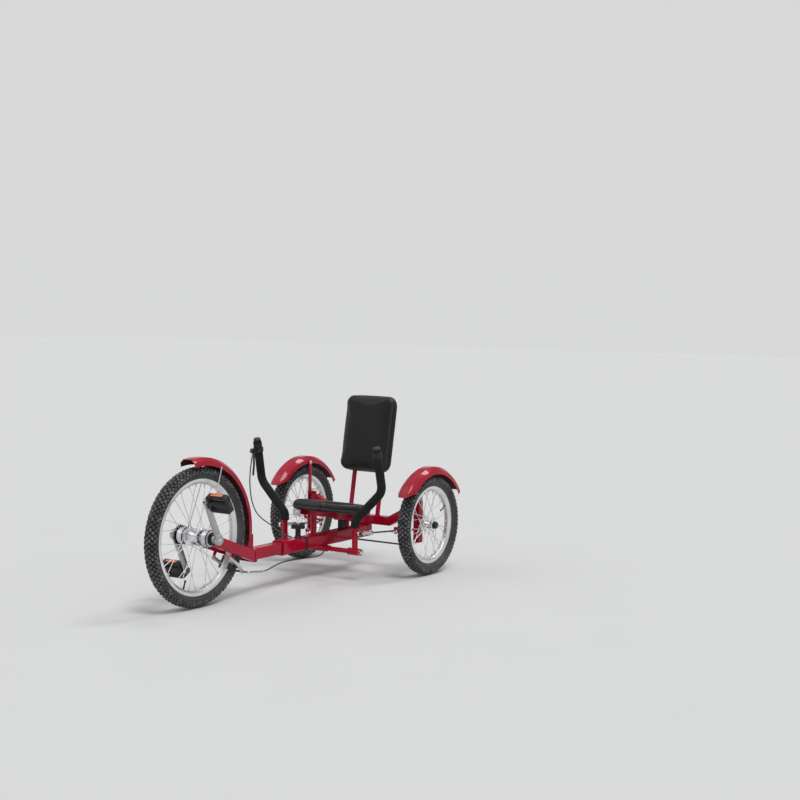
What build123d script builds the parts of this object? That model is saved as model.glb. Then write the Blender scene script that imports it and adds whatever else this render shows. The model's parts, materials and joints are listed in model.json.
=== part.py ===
from build123d import *
import os
from math import atan2, cos, radians, sin, tan

os.makedirs("parts", exist_ok=True)

# Recumbent trike: one pedalled front wheel on a sliding boom, two rear wheels steered by side sticks.
# Millimetres. +X is the rider's left, -Y is ahead, +Z is up, and Z = 0 is the ground.

# Wheels
wheelbase = 1070.0
track = 650.0
front_tyre_diameter = 514.0
rear_tyre_diameter = 413.0
tyre_width = 54.0
front_rim_diameter = 430.0
rear_rim_diameter = 320.0
rim_width = 28.0
rim_depth = 20.0
rim_wall = 2.0
rim_well = 6.0
spoke_diameter = 2.4
spoke_count = 28
spoke_cross = 2
spoke_bury = 4.0
spoke_circle_inset = 5.0
spoke_rim_stagger = 3.0

# Front hub, bearings and cranks
spindle_diameter = 18.0
hub_half_width = 38.7
hub_flange_diameter = 68.0
hub_flange_offset = 28.0
hub_flange_thickness = 4.0
hub_barrel_diameter = 46.0
bearing_diameter = 48.0
bearing_inner_face = 42.0
bearing_outer_face = 72.0
seal_width = 3.0
seal_diameter = 44.0
crank_length = 160.0
crank_angle = 25.6
crank_inner_face = 100.0
crank_thickness = 13.0
crank_boss_diameter = 40.0
crank_tip_diameter = 26.0
crank_bolt_recess = 6.0
cog_diameter = 80.0
cog_teeth = 24
cog_thickness = 4.0
cog_tooth_width = 6.0
cog_tooth_height = 6.0
cog_tooth_root = 2.0

# Pedals
pedal_spindle_diameter = 14.0
pedal_barrel_diameter = 24.0
pedal_gap = 8.0
pedal_width = 94.0
pedal_length = 68.0
pedal_thickness = 22.0
pedal_corner_radius = 10.0
pedal_rail = 10.0
pedal_pitch = 62.0
pedal_end_wall = 3.0
pedal_end_play = 1.0

# Fork and boom
fork_run = 297.0
fork_arm_width = 20.0
fork_arm_height = 42.0
fork_corner_radius = 5.0
fork_eye_width = 22.0
fork_eye_wall = 7.0
fork_rear_x = 34.0
boom_head_thickness = 10.0
boom_head_margin = 2.0
boom_length = 452.0
boom_wall = 2.0
boom_corner_radius = 5.0

# Main beam, in which the boom slides
beam_size = 50.0
beam_wall = 2.5
beam_corner_radius = 6.0
beam_height = 153.0
beam_overhang = 10.0
slide_gap = 0.3
beam_front_from_fork = 184.0
collar_length = 24.0
collar_wall = 3.5

# Rear axle beam and kingpins
axle_beam_depth = 32.0
axle_beam_height = 37.0
axle_beam_packer = 7.0
axle_beam_packer_width = 70.0
axle_beam_packer_depth = 24.0
axle_beam_flat = 137.0
kingpin_inset = 60.0
kingpin_diameter = 12.0
kingpin_housing_diameter = 24.0
kingpin_housing_drop = 70.5
kingpin_housing_rise = 83.5
wing_below_housing_top = 15.5
wing_top_clearance = 5.0
bearing_gap = 0.3
running_gap = 0.05

# Knuckles and steering linkage
knuckle_lug_thickness = 8.0
knuckle_lug_diameter = 26.0
knuckle_upright_gap = 3.5
knuckle_upright_thickness = 7.0
knuckle_upright_depth = 30.0
knuckle_boss_diameter = 24.0
kingpin_nut_width = 18.0
kingpin_nut_height = 7.0
stub_axle_diameter = 12.0
steer_arm_reach = 72.0
steer_arm_lead = 44.0
steer_arm_below_hub = 26.5
steer_arm_thickness = 8.0
steer_arm_width = 16.0
steer_arm_corner = 14.0
ball_eye_diameter = 18.0
ball_eye_height = 14.0
ball_stud_diameter = 8.0
ball_nut_width = 13.0
ball_nut_height = 5.0
tie_arm_reach = 45.0
tie_arm_width = 18.0
tie_rod_diameter = 7.0
tie_eye_diameter = 18.0
tie_eye_height = 9.0
tie_pin_diameter = 8.0
tie_pin_collar = 2.0
tie_under_beam = 5.5
link_rod_diameter = 6.5
turnbuckle_diameter = 19.0
turnbuckle_start = 22.0
turnbuckle_length = 68.0
turnbuckle_nut_width = 13.0
turnbuckle_nut_length = 7.0

# Rear hubs
rear_hub_inner = 35.0
rear_hub_outer = 27.0
rear_hub_cap = 41.0
rear_hub_cap_step = 2.0
rear_hub_cap_chamfer = 3.0
rear_hub_flange_diameter = 58.0
rear_hub_flange_offset = 22.0
rear_hub_barrel_diameter = 34.0

# Fenders
front_fender_width = 70.0
rear_fender_width = 74.0
fender_flat = 38.0
fender_bevel = 14.0
fender_lip = 16.0
fender_sheet = 2.0
front_fender_radius = 292.0
front_fender_start = -10.0
front_fender_end = 103.0
rear_fender_radius = 240.5
rear_fender_start = -57.0
rear_fender_end = 58.0
rear_fender_rake = 10.0
fender_strut_width = 20.0
fender_strut_thickness = 4.0
fender_post_width = 20.0
fender_post_depth = 24.0
fender_post_height = 52.0
fender_tongue_thickness = 6.0
fender_tongue_length = 18.0
stay_angle = 21.0
stay_diameter = 4.0
stay_foot_from_bearing = 8.0
stay_foot_back = 12.0

# Side sticks
stick_pivot_from_fork = 456.0
crossbar_diameter = 19.0
crossbar_sink = 1.5
saddle_half_width = 42.0
saddle_wall = 4.0
saddle_foot_length = 52.0
saddle_foot_thickness = 4.0
stick_x = 177.0
stick_barrel_half = 27.5
stick_barrel_diameter = 28.0
stick_shaft_diameter = 16.0
shaft_cap_diameter = 24.0
shaft_cap_thickness = 6.0
stick_tube_diameter = 24.0
stick_bend_height = 246.0
stick_bend_radius = 30.0
stick_elbow_x = 303.0
stick_elbow_set_back = 4.0
stick_elbow_height = 370.0
stick_elbow_radius = 60.0
stick_top_x = 300.0
stick_top_lead = 32.0
stick_top_height = 535.0
foam_diameter = 35.0
foam_fit = 0.2
foam_below_bend = 30.0
foam_end_length = 10.0
foam_end_taper = 25.0
link_pin_rise = 75.0
link_pin_diameter = 10.0
link_pin_lug_length = 22.0
link_pin_lug_width = 18.0
link_pin_lug_reach = 16.5
link_eye_diameter = 20.0
link_eye_thickness = 8.0
link_eye_offset = 21.0
link_bolt_width = 14.0
link_bolt_height = 4.0

# Seat
seat_length = 272.0
seat_front_width = 156.0
seat_rear_width = 290.0
seat_side_length = 110.0
seat_thickness = 39.0
seat_corner_radius = 24.0
seat_edge_radius = 13.0
seat_tilt = 9.0
seat_front_from_pivot = -92.0
seat_post_from_pivot = -40.0
seat_under_height = 275.0
seat_post_diameter = 25.0
seat_rear_post_diameter = 22.0
seat_post_spacing = 232.0
seat_rail_size = 20.0
seat_rail_x = 48.0
seat_rail_ahead = 39.0
seat_rail_behind = 14.0
seat_block_width = 24.0
seat_block_length = 22.0
seat_block_height = 36.0
seat_block_from_post = 37.0
back_lean = 10.0
back_post_x = 70.0
back_post_diameter = 19.0
back_post_below_top = 60.0
back_pad_gap = 0.3
back_width = 250.0
back_height = 330.0
back_thickness = 45.0
back_corner_radius = 40.0
back_edge_radius = 14.0
back_low = 395.0

# Clamp knob
knob_from_fork = 313.0
knob_diameter = 56.0
knob_height = 17.0
knob_taper = 6.0
knob_lobes = 6
knob_lobe_diameter = 16.0
knob_lobe_inset = 6.0
knob_valley_inset = 4.0
knob_stem_diameter = 22.0
knob_above_beam = 37.0

# Rim brake under the fork arms
brake_angle = 34.0
brake_pivot_radius = 176.0
brake_arm_root = 10.0
brake_arm_width = 9.0
brake_arm_thickness = 12.0
brake_knee_inset = 28.0
brake_tip_x = 19.0
brake_tip_length = 14.0
brake_tip_clearance = 33.0
brake_boss_diameter = 12.0
brake_boss_bury = 4.0
brake_pad_gap = 1.5
brake_pad_depth = 12.0
brake_pad_height = 10.0
brake_pad_length = 50.0
brake_pad_below_edge = 7.0
brake_pad_post = 8.0
guide_diameter = 7.0
guide_reach = 24.0
guide_run = 58.0
guide_drop = 6.0
guide_radius = 17.0

# Brake cable, its strap and the lever on the right grip
cable_diameter = 5.0
cable_gap = 0.3
strap_behind_knob = 26.0
strap_width = 13.0
strap_thickness = 1.5
lever_drop = 34.0
lever_clamp_wall = 4.0
lever_clamp_gap = 0.3
lever_clamp_width = 16.0
lever_body_width = 12.0
lever_blade_width = 8.0
lever_blade_thickness = 5.0
lever_pivot_diameter = 8.0

# Places worked out from the sizes above
front_radius = front_tyre_diameter / 2
rear_radius = rear_tyre_diameter / 2
overall_length = front_radius + wheelbase + rear_radius
front_hub_y = front_radius - overall_length / 2
rear_hub_y = front_hub_y + wheelbase
front_hub = Vector(0, front_hub_y, front_radius)
fork_y = front_hub_y + fork_run
beam_front_y = fork_y + beam_front_from_fork
beam_top = beam_height + beam_size / 2
beam_bottom = beam_height - beam_size / 2
boom_size = beam_size - 2 * beam_wall - 2 * slide_gap
boom_top = beam_height + boom_size / 2
kingpin_x = track / 2 - kingpin_inset
kingpin_y = rear_hub_y
housing_low = rear_radius - kingpin_housing_drop
housing_high = rear_radius + kingpin_housing_rise
axle_beam_bottom = beam_top + axle_beam_packer
axle_beam_top = axle_beam_bottom + axle_beam_height
pivot_y = fork_y + stick_pivot_from_fork
pivot_z = beam_bottom + crossbar_sink - crossbar_diameter / 2
barrel_inner = stick_x - stick_barrel_half
barrel_outer = stick_x + stick_barrel_half
knob_y = fork_y + knob_from_fork
sides = (("left", 1), ("right", -1))


def radial_plane(hub, angle):
    """Plane through a hub: its x runs along the axle, its y points out, angle degrees back from up."""
    out = Vector(0, sin(radians(angle)), cos(radians(angle)))
    return Plane(origin=hub, x_dir=(1, 0, 0), z_dir=Vector(1, 0, 0).cross(out))


def across_plane(x, y, z):
    """Plane across the axle direction: its x runs along +Y, its y along +Z and its normal along +X."""
    return Plane(origin=(x, y, z), x_dir=(0, 1, 0), z_dir=(1, 0, 0))


def facing_plane(y, z):
    """Plane across the beam: its x runs along +X, its y along +Z and its normal ahead, along -Y."""
    return Plane(origin=(0, y, z), x_dir=(1, 0, 0), z_dir=(0, -1, 0))


def around_hub(hub, reach, angle, x=0):
    """Point at a reach from a hub's axis, angle degrees back from up, x along the axle."""
    return hub + Vector(x, reach * sin(radians(angle)), reach * cos(radians(angle)))


def fender_half(width, radius):
    """Half of a fender's section, from the crown's middle out to the lip and back inside: across, out."""
    half = width / 2
    shoulder = radius - fender_bevel
    edge = shoulder - fender_lip
    return (
        (0, radius),
        (fender_flat / 2, radius),
        (half, shoulder),
        (half, edge),
        (half - fender_sheet, edge),
        (half - fender_sheet, shoulder - fender_sheet / 2),
        (fender_flat / 2 - fender_sheet / 4, radius - fender_sheet),
        (0, radius - fender_sheet),
    )


def stick_points(sign):
    """Corners of a stick's centre line: lower bend, elbow and top."""
    return (
        Vector(sign * stick_x, pivot_y, stick_bend_height),
        Vector(sign * stick_elbow_x, pivot_y + stick_elbow_set_back, stick_elbow_height),
        Vector(sign * stick_top_x, pivot_y - stick_top_lead, stick_top_height),
    )


def bend_radii(points):
    """Bend radius at each inner point, as large as the shorter of its two runs allows."""
    radii = []
    for before, here, after in zip(points, points[1:], points[2:]):
        half_turn = radians((here - before).get_angle(after - here)) / 2
        shorter = min((here - before).length, (after - here).length)
        radii.append(0.45 * shorter / tan(half_turn))
    return radii


# Wheels: name, hub centre, tyre diameter, rim diameter
wheels = (
    ("front", front_hub, front_tyre_diameter, front_rim_diameter),
    ("rear_left", Vector(track / 2, rear_hub_y, rear_radius), rear_tyre_diameter, rear_rim_diameter),
    ("rear_right", Vector(-track / 2, rear_hub_y, rear_radius), rear_tyre_diameter, rear_rim_diameter),
)

for wheel_name, hub, tyre_diameter, rim_diameter in wheels:
    axle = Axis(hub, (1, 0, 0))
    rim_edge = rim_diameter / 2
    rim_bed = rim_edge - rim_well
    rim_half = rim_width / 2
    tread = tyre_diameter / 2
    swell = tyre_width / 2
    section_height = tread - rim_edge

    # Tyre: from the rim bed round the sidewall to the crown
    with BuildPart() as tyre:
        with BuildSketch(radial_plane(hub, 0)):
            with BuildLine():
                Polyline(
                    (0, rim_bed),
                    (rim_half - rim_wall, rim_bed),
                    (rim_half - rim_wall, rim_edge),
                    (swell * 0.86, rim_edge + section_height * 0.2),
                    (swell, rim_edge + section_height * 0.48),
                    (swell * 0.9, rim_edge + section_height * 0.76),
                    (swell * 0.55, rim_edge + section_height * 0.95),
                    (swell * 0.2, tread),
                    (0, tread),
                )
                mirror(about=Plane.YZ)
            make_face()
        revolve(axis=axle)
    tyre.part.label = f"{wheel_name}_tyre"
    export_step(tyre.part, f"parts/{wheel_name}_tyre.step")

    with BuildPart() as rim:
        with BuildSketch(radial_plane(hub, 0)):
            with BuildLine():
                Polyline(
                    (0, rim_edge - rim_depth),
                    (rim_half * 0.5, rim_edge - rim_depth),
                    (rim_half, rim_edge - rim_depth * 0.6),
                    (rim_half, rim_edge),
                    (rim_half - rim_wall, rim_edge),
                    (rim_half - rim_wall, rim_bed),
                    (0, rim_bed),
                )
                mirror(about=Plane.YZ)
            make_face()
        revolve(axis=axle)
    rim.part.label = f"{wheel_name}_rim"
    export_step(rim.part, f"parts/{wheel_name}_rim.step")

# Hubs: name, centre, side, inboard end, outboard end, flange offset, barrel, flange and bore diameters, rim
hubs = (
    ("front", front_hub, 1, hub_half_width, hub_half_width, hub_flange_offset,
     hub_barrel_diameter, hub_flange_diameter, spindle_diameter, front_rim_diameter),
    ("rear_left", wheels[1][1], 1, rear_hub_inner, rear_hub_outer, rear_hub_flange_offset,
     rear_hub_barrel_diameter, rear_hub_flange_diameter, stub_axle_diameter, rear_rim_diameter),
    ("rear_right", wheels[2][1], -1, rear_hub_inner, rear_hub_outer, rear_hub_flange_offset,
     rear_hub_barrel_diameter, rear_hub_flange_diameter, stub_axle_diameter, rear_rim_diameter),
)

for hub_name, hub, sign, inner, outer, flange_offset, barrel, flange, bore, rim_diameter in hubs:
    inboard_end = across_plane(hub.X - sign * inner, hub.Y, hub.Z)
    with BuildPart() as hub_shell:
        with BuildSketch(inboard_end):
            Circle(barrel / 2)
        extrude(amount=sign * (inner + outer))
        for place in (-flange_offset, flange_offset):
            with BuildSketch(across_plane(hub.X + place - hub_flange_thickness / 2, hub.Y, hub.Z)):
                Circle(flange / 2)
            extrude(amount=hub_flange_thickness)
        with BuildSketch(inboard_end):
            Circle(bore / 2 + running_gap)
        extrude(amount=sign * (inner + outer), mode=Mode.SUBTRACT)
    hub_shell.part.label = f"{hub_name}_hub"
    export_step(hub_shell.part, f"parts/{hub_name}_hub.step")

    # Crossed spokes: each runs from one flange to the rim, a few spoke places ahead or behind
    step = 360.0 / spoke_count
    with BuildPart() as spokes:
        for number in range(spoke_count):
            flange_side = 1 if number % 2 else -1
            lead = 1 if number % 4 < 2 else -1
            flange_face = lead * (hub_flange_thickness + spoke_diameter) / 2
            start = around_hub(
                hub,
                flange / 2 - spoke_circle_inset,
                (number - lead * spoke_cross * 2) * step,
                flange_side * flange_offset + flange_face,
            )
            end = around_hub(
                hub,
                rim_diameter / 2 - rim_depth + spoke_bury,
                number * step,
                flange_side * spoke_rim_stagger,
            )
            with BuildSketch(Plane(origin=start, z_dir=end - start)):
                RegularPolygon(spoke_diameter / 2, 6)
            extrude(amount=(end - start).length)
    spokes.part.label = f"{hub_name}_spokes"
    export_step(spokes.part, f"parts/{hub_name}_spokes.step")

for side, sign in sides:
    with BuildPart() as hub_cap:
        with BuildSketch(across_plane(sign * (track / 2 + rear_hub_outer), rear_hub_y, rear_radius)):
            Circle(rear_hub_barrel_diameter / 2 - rear_hub_cap_step)
        extrude(amount=sign * (rear_hub_cap - rear_hub_outer))
        chamfer(hub_cap.faces().sort_by(Axis.X)[-1 if sign > 0 else 0].edges(), rear_hub_cap_chamfer)
    hub_cap.part.label = f"rear_{side}_hub_cap"
    export_step(hub_cap.part, f"parts/rear_{side}_hub_cap.step")

# Crank spindle, bearings and seals on the front wheel's axis
crank_outer_face = crank_inner_face + crank_thickness
spindle_half = crank_outer_face - crank_bolt_recess
with BuildPart() as spindle:
    with BuildSketch(across_plane(0, front_hub_y, front_radius)):
        Circle(spindle_diameter / 2)
    extrude(amount=spindle_half, both=True)
spindle.part.label = "crank_spindle"
export_step(spindle.part, "parts/crank_spindle.step")

with BuildPart() as bearings:
    for side, sign in sides:
        with BuildSketch(across_plane(sign * bearing_inner_face, front_hub_y, front_radius)):
            Circle(bearing_diameter / 2)
            Circle(spindle_diameter / 2 + running_gap, mode=Mode.SUBTRACT)
        extrude(amount=sign * (bearing_outer_face - bearing_inner_face))
bearings.part.label = "bearing_housings"
export_step(bearings.part, "parts/bearing_housings.step")

with BuildPart() as seals:
    for side, sign in sides:
        for face in (bearing_inner_face - seal_width, bearing_outer_face):
            with BuildSketch(across_plane(sign * face, front_hub_y, front_radius)):
                Circle(seal_diameter / 2)
                Circle(spindle_diameter / 2 + running_gap, mode=Mode.SUBTRACT)
            extrude(amount=sign * seal_width)
seals.part.label = "bearing_seals"
export_step(seals.part, "parts/bearing_seals.step")

cog_face = bearing_outer_face + seal_width + bearing_gap
cog_root_radius = cog_diameter / 2 - cog_tooth_height
with BuildPart() as cog:
    with BuildSketch(across_plane(-cog_face, front_hub_y, front_radius)):
        Circle(cog_root_radius)
        with PolarLocations(cog_root_radius + (cog_tooth_height - cog_tooth_root) / 2, cog_teeth):
            Trapezoid(cog_tooth_width, cog_tooth_height + cog_tooth_root, 75, rotation=-90)
        Circle(spindle_diameter / 2, mode=Mode.SUBTRACT)
    extrude(amount=-cog_thickness)
cog.part.label = "drive_cog"
export_step(cog.part, "parts/drive_cog.step")

# Cranks point opposite ways, each with its pedal spindle
for side, sign in sides:
    toward = Vector(0, -sign * sin(radians(crank_angle)), sign * cos(radians(crank_angle)))
    boss_start = cog_face if sign > 0 else cog_face + cog_thickness
    with BuildPart() as crank:
        with BuildSketch(across_plane(sign * boss_start, front_hub_y, front_radius)):
            Circle(crank_boss_diameter / 2)
        extrude(amount=sign * (crank_outer_face - boss_start))
        arm_plane = Plane(
            origin=(sign * crank_inner_face, front_hub_y, front_radius),
            x_dir=toward,
            z_dir=(sign, 0, 0),
        )
        with BuildSketch(arm_plane):
            Circle(crank_boss_diameter / 2)
            with Locations((crank_length, 0)):
                Circle(crank_tip_diameter / 2)
            make_hull()
        extrude(amount=crank_thickness)
        with BuildSketch(across_plane(0, front_hub_y, front_radius)):
            Circle(spindle_diameter / 2)
        extrude(amount=sign * crank_outer_face, mode=Mode.SUBTRACT)
        with BuildSketch(arm_plane.offset(crank_thickness)):
            with Locations((crank_length, 0)):
                Circle(pedal_spindle_diameter / 2)
        extrude(amount=pedal_gap + pedal_width - pedal_end_wall - pedal_end_play)
    crank.part.label = f"crank_{side}"
    export_step(crank.part, f"parts/crank_{side}.step")

    # Pedal: a frame with a barrel across it that runs on the spindle
    pedal_centre = front_hub + toward * crank_length
    pedal_start = crank_outer_face + pedal_gap
    barrel_plane = across_plane(sign * pedal_start, pedal_centre.Y, pedal_centre.Z)
    pedal_plane = Plane(
        origin=(sign * (pedal_start + pedal_width / 2), pedal_centre.Y, pedal_centre.Z),
        x_dir=(1, 0, 0),
        z_dir=(0, sin(radians(pedal_pitch)), cos(radians(pedal_pitch))),
    )
    with BuildPart() as pedal:
        with BuildSketch(pedal_plane):
            RectangleRounded(pedal_width, pedal_length, pedal_corner_radius)
            Rectangle(pedal_width - 2 * pedal_rail, pedal_length - 2 * pedal_rail, mode=Mode.SUBTRACT)
        extrude(amount=pedal_thickness / 2, both=True)
        with BuildSketch(barrel_plane):
            Circle(pedal_barrel_diameter / 2)
        extrude(amount=sign * pedal_width)
        with BuildSketch(barrel_plane):
            Circle(pedal_spindle_diameter / 2 + running_gap)
        extrude(amount=sign * (pedal_width - pedal_end_wall), mode=Mode.SUBTRACT)
    pedal.part.label = f"pedal_{side}"
    export_step(pedal.part, f"parts/pedal_{side}.step")

# Boom with its head plate, sliding inside the beam
boom_inside = boom_size - 2 * boom_wall
with BuildPart() as boom:
    with BuildSketch(facing_plane(fork_y, beam_height)):
        RectangleRounded(boom_size, boom_size, boom_corner_radius)
        RectangleRounded(boom_inside, boom_inside, boom_corner_radius - boom_wall, mode=Mode.SUBTRACT)
    extrude(amount=-boom_length)
    with BuildSketch(facing_plane(fork_y, beam_height)):
        RectangleRounded(
            2 * (fork_rear_x + fork_arm_width / 2 + boom_head_margin), beam_size, boom_corner_radius
        )
    extrude(amount=boom_head_thickness)
boom.part.label = "boom"
export_step(boom.part, "parts/boom.step")

# Fork arms run from an eye round each bearing housing down to the head plate
fork_end_y = fork_y - boom_head_thickness
fork_x = (bearing_inner_face + bearing_outer_face) / 2
fork_slope = atan2(front_radius - beam_height, fork_run - boom_head_thickness)
brake_plane = radial_plane(front_hub, 90 + brake_angle)
below_fork = radians(brake_angle) - fork_slope
boss_reach = (brake_pivot_radius * sin(below_fork) - fork_arm_height / 2) / cos(below_fork)
brake_boss_length = boss_reach - brake_arm_thickness / 2 + brake_boss_bury
brake_share = brake_pivot_radius * cos(below_fork) * cos(fork_slope) / (fork_run - boom_head_thickness)
brake_pivot_x = fork_x + (fork_rear_x - fork_x) * brake_share
for side, sign in sides:
    eye = Vector(sign * fork_x, front_hub_y, front_radius)
    foot = Vector(sign * fork_rear_x, fork_end_y, beam_height)
    with BuildPart() as fork_arm:
        with BuildSketch(Plane(origin=eye, x_dir=Vector(0, 0, 1).cross(foot - eye), z_dir=foot - eye)):
            RectangleRounded(fork_arm_width, fork_arm_height, fork_corner_radius)
        extrude(amount=(foot - eye).length + fork_arm_height)
        split(bisect_by=Plane(origin=foot, z_dir=(0, -1, 0)))
        with BuildSketch(across_plane(eye.X, front_hub_y, front_radius)):
            Circle(bearing_diameter / 2 + fork_eye_wall)
        extrude(amount=fork_eye_width / 2, both=True)
        with BuildSketch(across_plane(eye.X, front_hub_y, front_radius)):
            Circle(bearing_diameter / 2)
        extrude(amount=fork_eye_width, both=True, mode=Mode.SUBTRACT)
        with BuildSketch(brake_plane.offset(brake_arm_thickness / 2)):
            with Locations((sign * brake_pivot_x, brake_pivot_radius)):
                Circle(brake_boss_diameter / 2)
        extrude(amount=brake_boss_length)
    fork_arm.part.label = f"fork_arm_{side}"
    export_step(fork_arm.part, f"parts/fork_arm_{side}.step")

# Main beam: square tube with a collar at its mouth, open in front and closed behind
beam_end_y = kingpin_y + axle_beam_depth / 2 + beam_overhang
with BuildPart() as beam:
    with BuildSketch(facing_plane(beam_front_y, beam_height)):
        RectangleRounded(beam_size, beam_size, beam_corner_radius)
    extrude(amount=beam_front_y - beam_end_y)
    with BuildSketch(facing_plane(beam_front_y, beam_height)):
        RectangleRounded(
            beam_size + 2 * collar_wall, beam_size + 2 * collar_wall, beam_corner_radius + collar_wall
        )
    extrude(amount=-collar_length)
    with BuildSketch(facing_plane(beam_front_y, beam_height)):
        RectangleRounded(
            beam_size - 2 * beam_wall, beam_size - 2 * beam_wall, beam_corner_radius - beam_wall
        )
    extrude(amount=beam_front_y - beam_end_y + beam_wall, mode=Mode.SUBTRACT)
    with BuildSketch(across_plane(0, pivot_y, pivot_z)):
        Circle(crossbar_diameter / 2)
    extrude(amount=beam_size, both=True, mode=Mode.SUBTRACT)
beam.part.label = "main_beam"
export_step(beam.part, "parts/main_beam.step")

# Clamp knob, whose screw presses on the boom through the beam's top wall
with BuildPart() as knob:
    with BuildSketch(Plane.XY.offset(beam_top)):
        with Locations((0, knob_y)):
            Circle(knob_stem_diameter / 2)
    extrude(amount=knob_above_beam)
    with BuildSketch(Plane.XY.offset(beam_top + knob_above_beam)):
        with Locations((0, knob_y)):
            Circle(knob_diameter / 2 - knob_valley_inset)
            with PolarLocations(knob_diameter / 2 - knob_lobe_inset, knob_lobes):
                Circle(knob_lobe_diameter / 2)
    extrude(amount=knob_height, taper=knob_taper)
knob.part.label = "clamp_knob"
export_step(knob.part, "parts/clamp_knob.step")

# Crossbar in a saddle under the beam carries the two side sticks
shaft_end = barrel_outer + bearing_gap
with BuildPart() as crossbar:
    with BuildSketch(across_plane(0, pivot_y, pivot_z)):
        Circle(crossbar_diameter / 2 + saddle_wall)
        with Locations((0, beam_bottom - pivot_z)):
            Rectangle(saddle_foot_length, 2 * saddle_foot_thickness)
            Rectangle(saddle_foot_length, crossbar_diameter, align=(Align.CENTER, Align.MIN), mode=Mode.SUBTRACT)
    extrude(amount=saddle_half_width, both=True)
    with BuildSketch(across_plane(0, pivot_y, pivot_z)):
        Circle(crossbar_diameter / 2)
    extrude(amount=barrel_inner - bearing_gap, both=True)
    with BuildSketch(across_plane(0, pivot_y, pivot_z)):
        Circle(stick_shaft_diameter / 2)
    extrude(amount=shaft_end, both=True)
    for side, sign in sides:
        with BuildSketch(across_plane(sign * shaft_end, pivot_y, pivot_z)):
            Circle(shaft_cap_diameter / 2)
        extrude(amount=sign * shaft_cap_thickness)
crossbar.part.label = "pivot_crossbar"
export_step(crossbar.part, "parts/pivot_crossbar.step")

# Side sticks: barrel and bent tube, with a lug and pin stub for the drag link on the outboard side
link_x = stick_x + link_eye_offset
link_z = pivot_z + link_pin_rise
for side, sign in sides:
    lower, elbow, top = stick_points(sign)
    lug_plane = across_plane(sign * stick_x, pivot_y, link_z)
    with BuildPart() as stick:
        with BuildLine():
            FilletPolyline(
                (sign * stick_x, pivot_y, pivot_z), lower, elbow, top,
                radius=[stick_bend_radius, stick_elbow_radius],
            )
        with BuildSketch(Plane.XY.offset(pivot_z)):
            with Locations((sign * stick_x, pivot_y)):
                Circle(stick_tube_diameter / 2)
        sweep()
        with BuildSketch(across_plane(sign * stick_x, pivot_y, pivot_z)):
            Circle(stick_barrel_diameter / 2)
        extrude(amount=stick_barrel_half, both=True)
        with BuildSketch(lug_plane):
            SlotOverall(link_pin_lug_length, link_pin_lug_width, rotation=90)
        extrude(amount=sign * link_pin_lug_reach)
        with BuildSketch(lug_plane):
            Circle(link_pin_diameter / 2)
        extrude(amount=sign * (link_eye_offset - link_eye_thickness / 2 - bearing_gap))
        with BuildSketch(across_plane(sign * stick_x, pivot_y, pivot_z)):
            Circle(stick_shaft_diameter / 2 + running_gap)
        extrude(amount=stick_barrel_half, both=True, mode=Mode.SUBTRACT)
    stick.part.label = f"stick_tube_{side}"
    export_step(stick.part, f"parts/stick_tube_{side}.step")

    # Foam grip over the bent tube, with a domed end
    foam_start = stick_bend_height - foam_below_bend
    with BuildPart() as foam:
        with BuildLine():
            FilletPolyline(
                (sign * stick_x, pivot_y, foam_start), lower, elbow, top,
                radius=[stick_bend_radius, stick_elbow_radius],
            )
        with BuildSketch(Plane.XY.offset(foam_start)):
            with Locations((sign * stick_x, pivot_y)):
                Circle(foam_diameter / 2)
                Circle(stick_tube_diameter / 2 + foam_fit, mode=Mode.SUBTRACT)
        sweep()
        with BuildSketch(Plane(origin=top, z_dir=top - elbow)):
            Circle(foam_diameter / 2)
        extrude(amount=foam_end_length, taper=foam_end_taper)
    foam.part.label = f"stick_foam_{side}"
    export_step(foam.part, f"parts/stick_foam_{side}.step")

# Axle beam: a flat middle on the main beam and two wings that rise to the kingpin housings
wing_end_height = housing_high - wing_below_housing_top
beam_mid = (axle_beam_top + axle_beam_bottom) / 2
wing_slope = atan2(wing_end_height - beam_mid, kingpin_x - axle_beam_flat)
half_height = axle_beam_height / 2
wing_half = half_height / cos(wing_slope)
knee_shift = half_height * tan(wing_slope / 2)
wing_cap = housing_high - wing_top_clearance
wing_cap_x = kingpin_x - (wing_end_height + wing_half - wing_cap) / tan(wing_slope)
with BuildPart() as axle_beam:
    with BuildSketch(facing_plane(kingpin_y, 0)):
        with BuildLine():
            Polyline(
                (0, axle_beam_top),
                (axle_beam_flat - knee_shift, axle_beam_top),
                (wing_cap_x, wing_cap),
                (kingpin_x, wing_cap),
                (kingpin_x, wing_end_height - wing_half),
                (axle_beam_flat + knee_shift, axle_beam_bottom),
                (0, axle_beam_bottom),
            )
            mirror(about=Plane.YZ)
        make_face()
    extrude(amount=axle_beam_depth / 2, both=True)
    with BuildSketch(Plane.XY.offset(beam_top)):
        with Locations((0, kingpin_y)):
            Rectangle(axle_beam_packer_width, axle_beam_packer_depth)
    extrude(amount=axle_beam_packer)
    with BuildSketch(Plane.XY.offset(housing_low)):
        with Locations((kingpin_x, kingpin_y), (-kingpin_x, kingpin_y)):
            Circle(kingpin_housing_diameter / 2)
    extrude(amount=housing_high - housing_low)
    with BuildSketch(Plane.XY.offset(housing_low)):
        with Locations((kingpin_x, kingpin_y), (-kingpin_x, kingpin_y)):
            Circle(kingpin_diameter / 2 + running_gap)
    extrude(amount=housing_high - housing_low, mode=Mode.SUBTRACT)
axle_beam.part.label = "axle_beam"
export_step(axle_beam.part, "parts/axle_beam.step")

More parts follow.
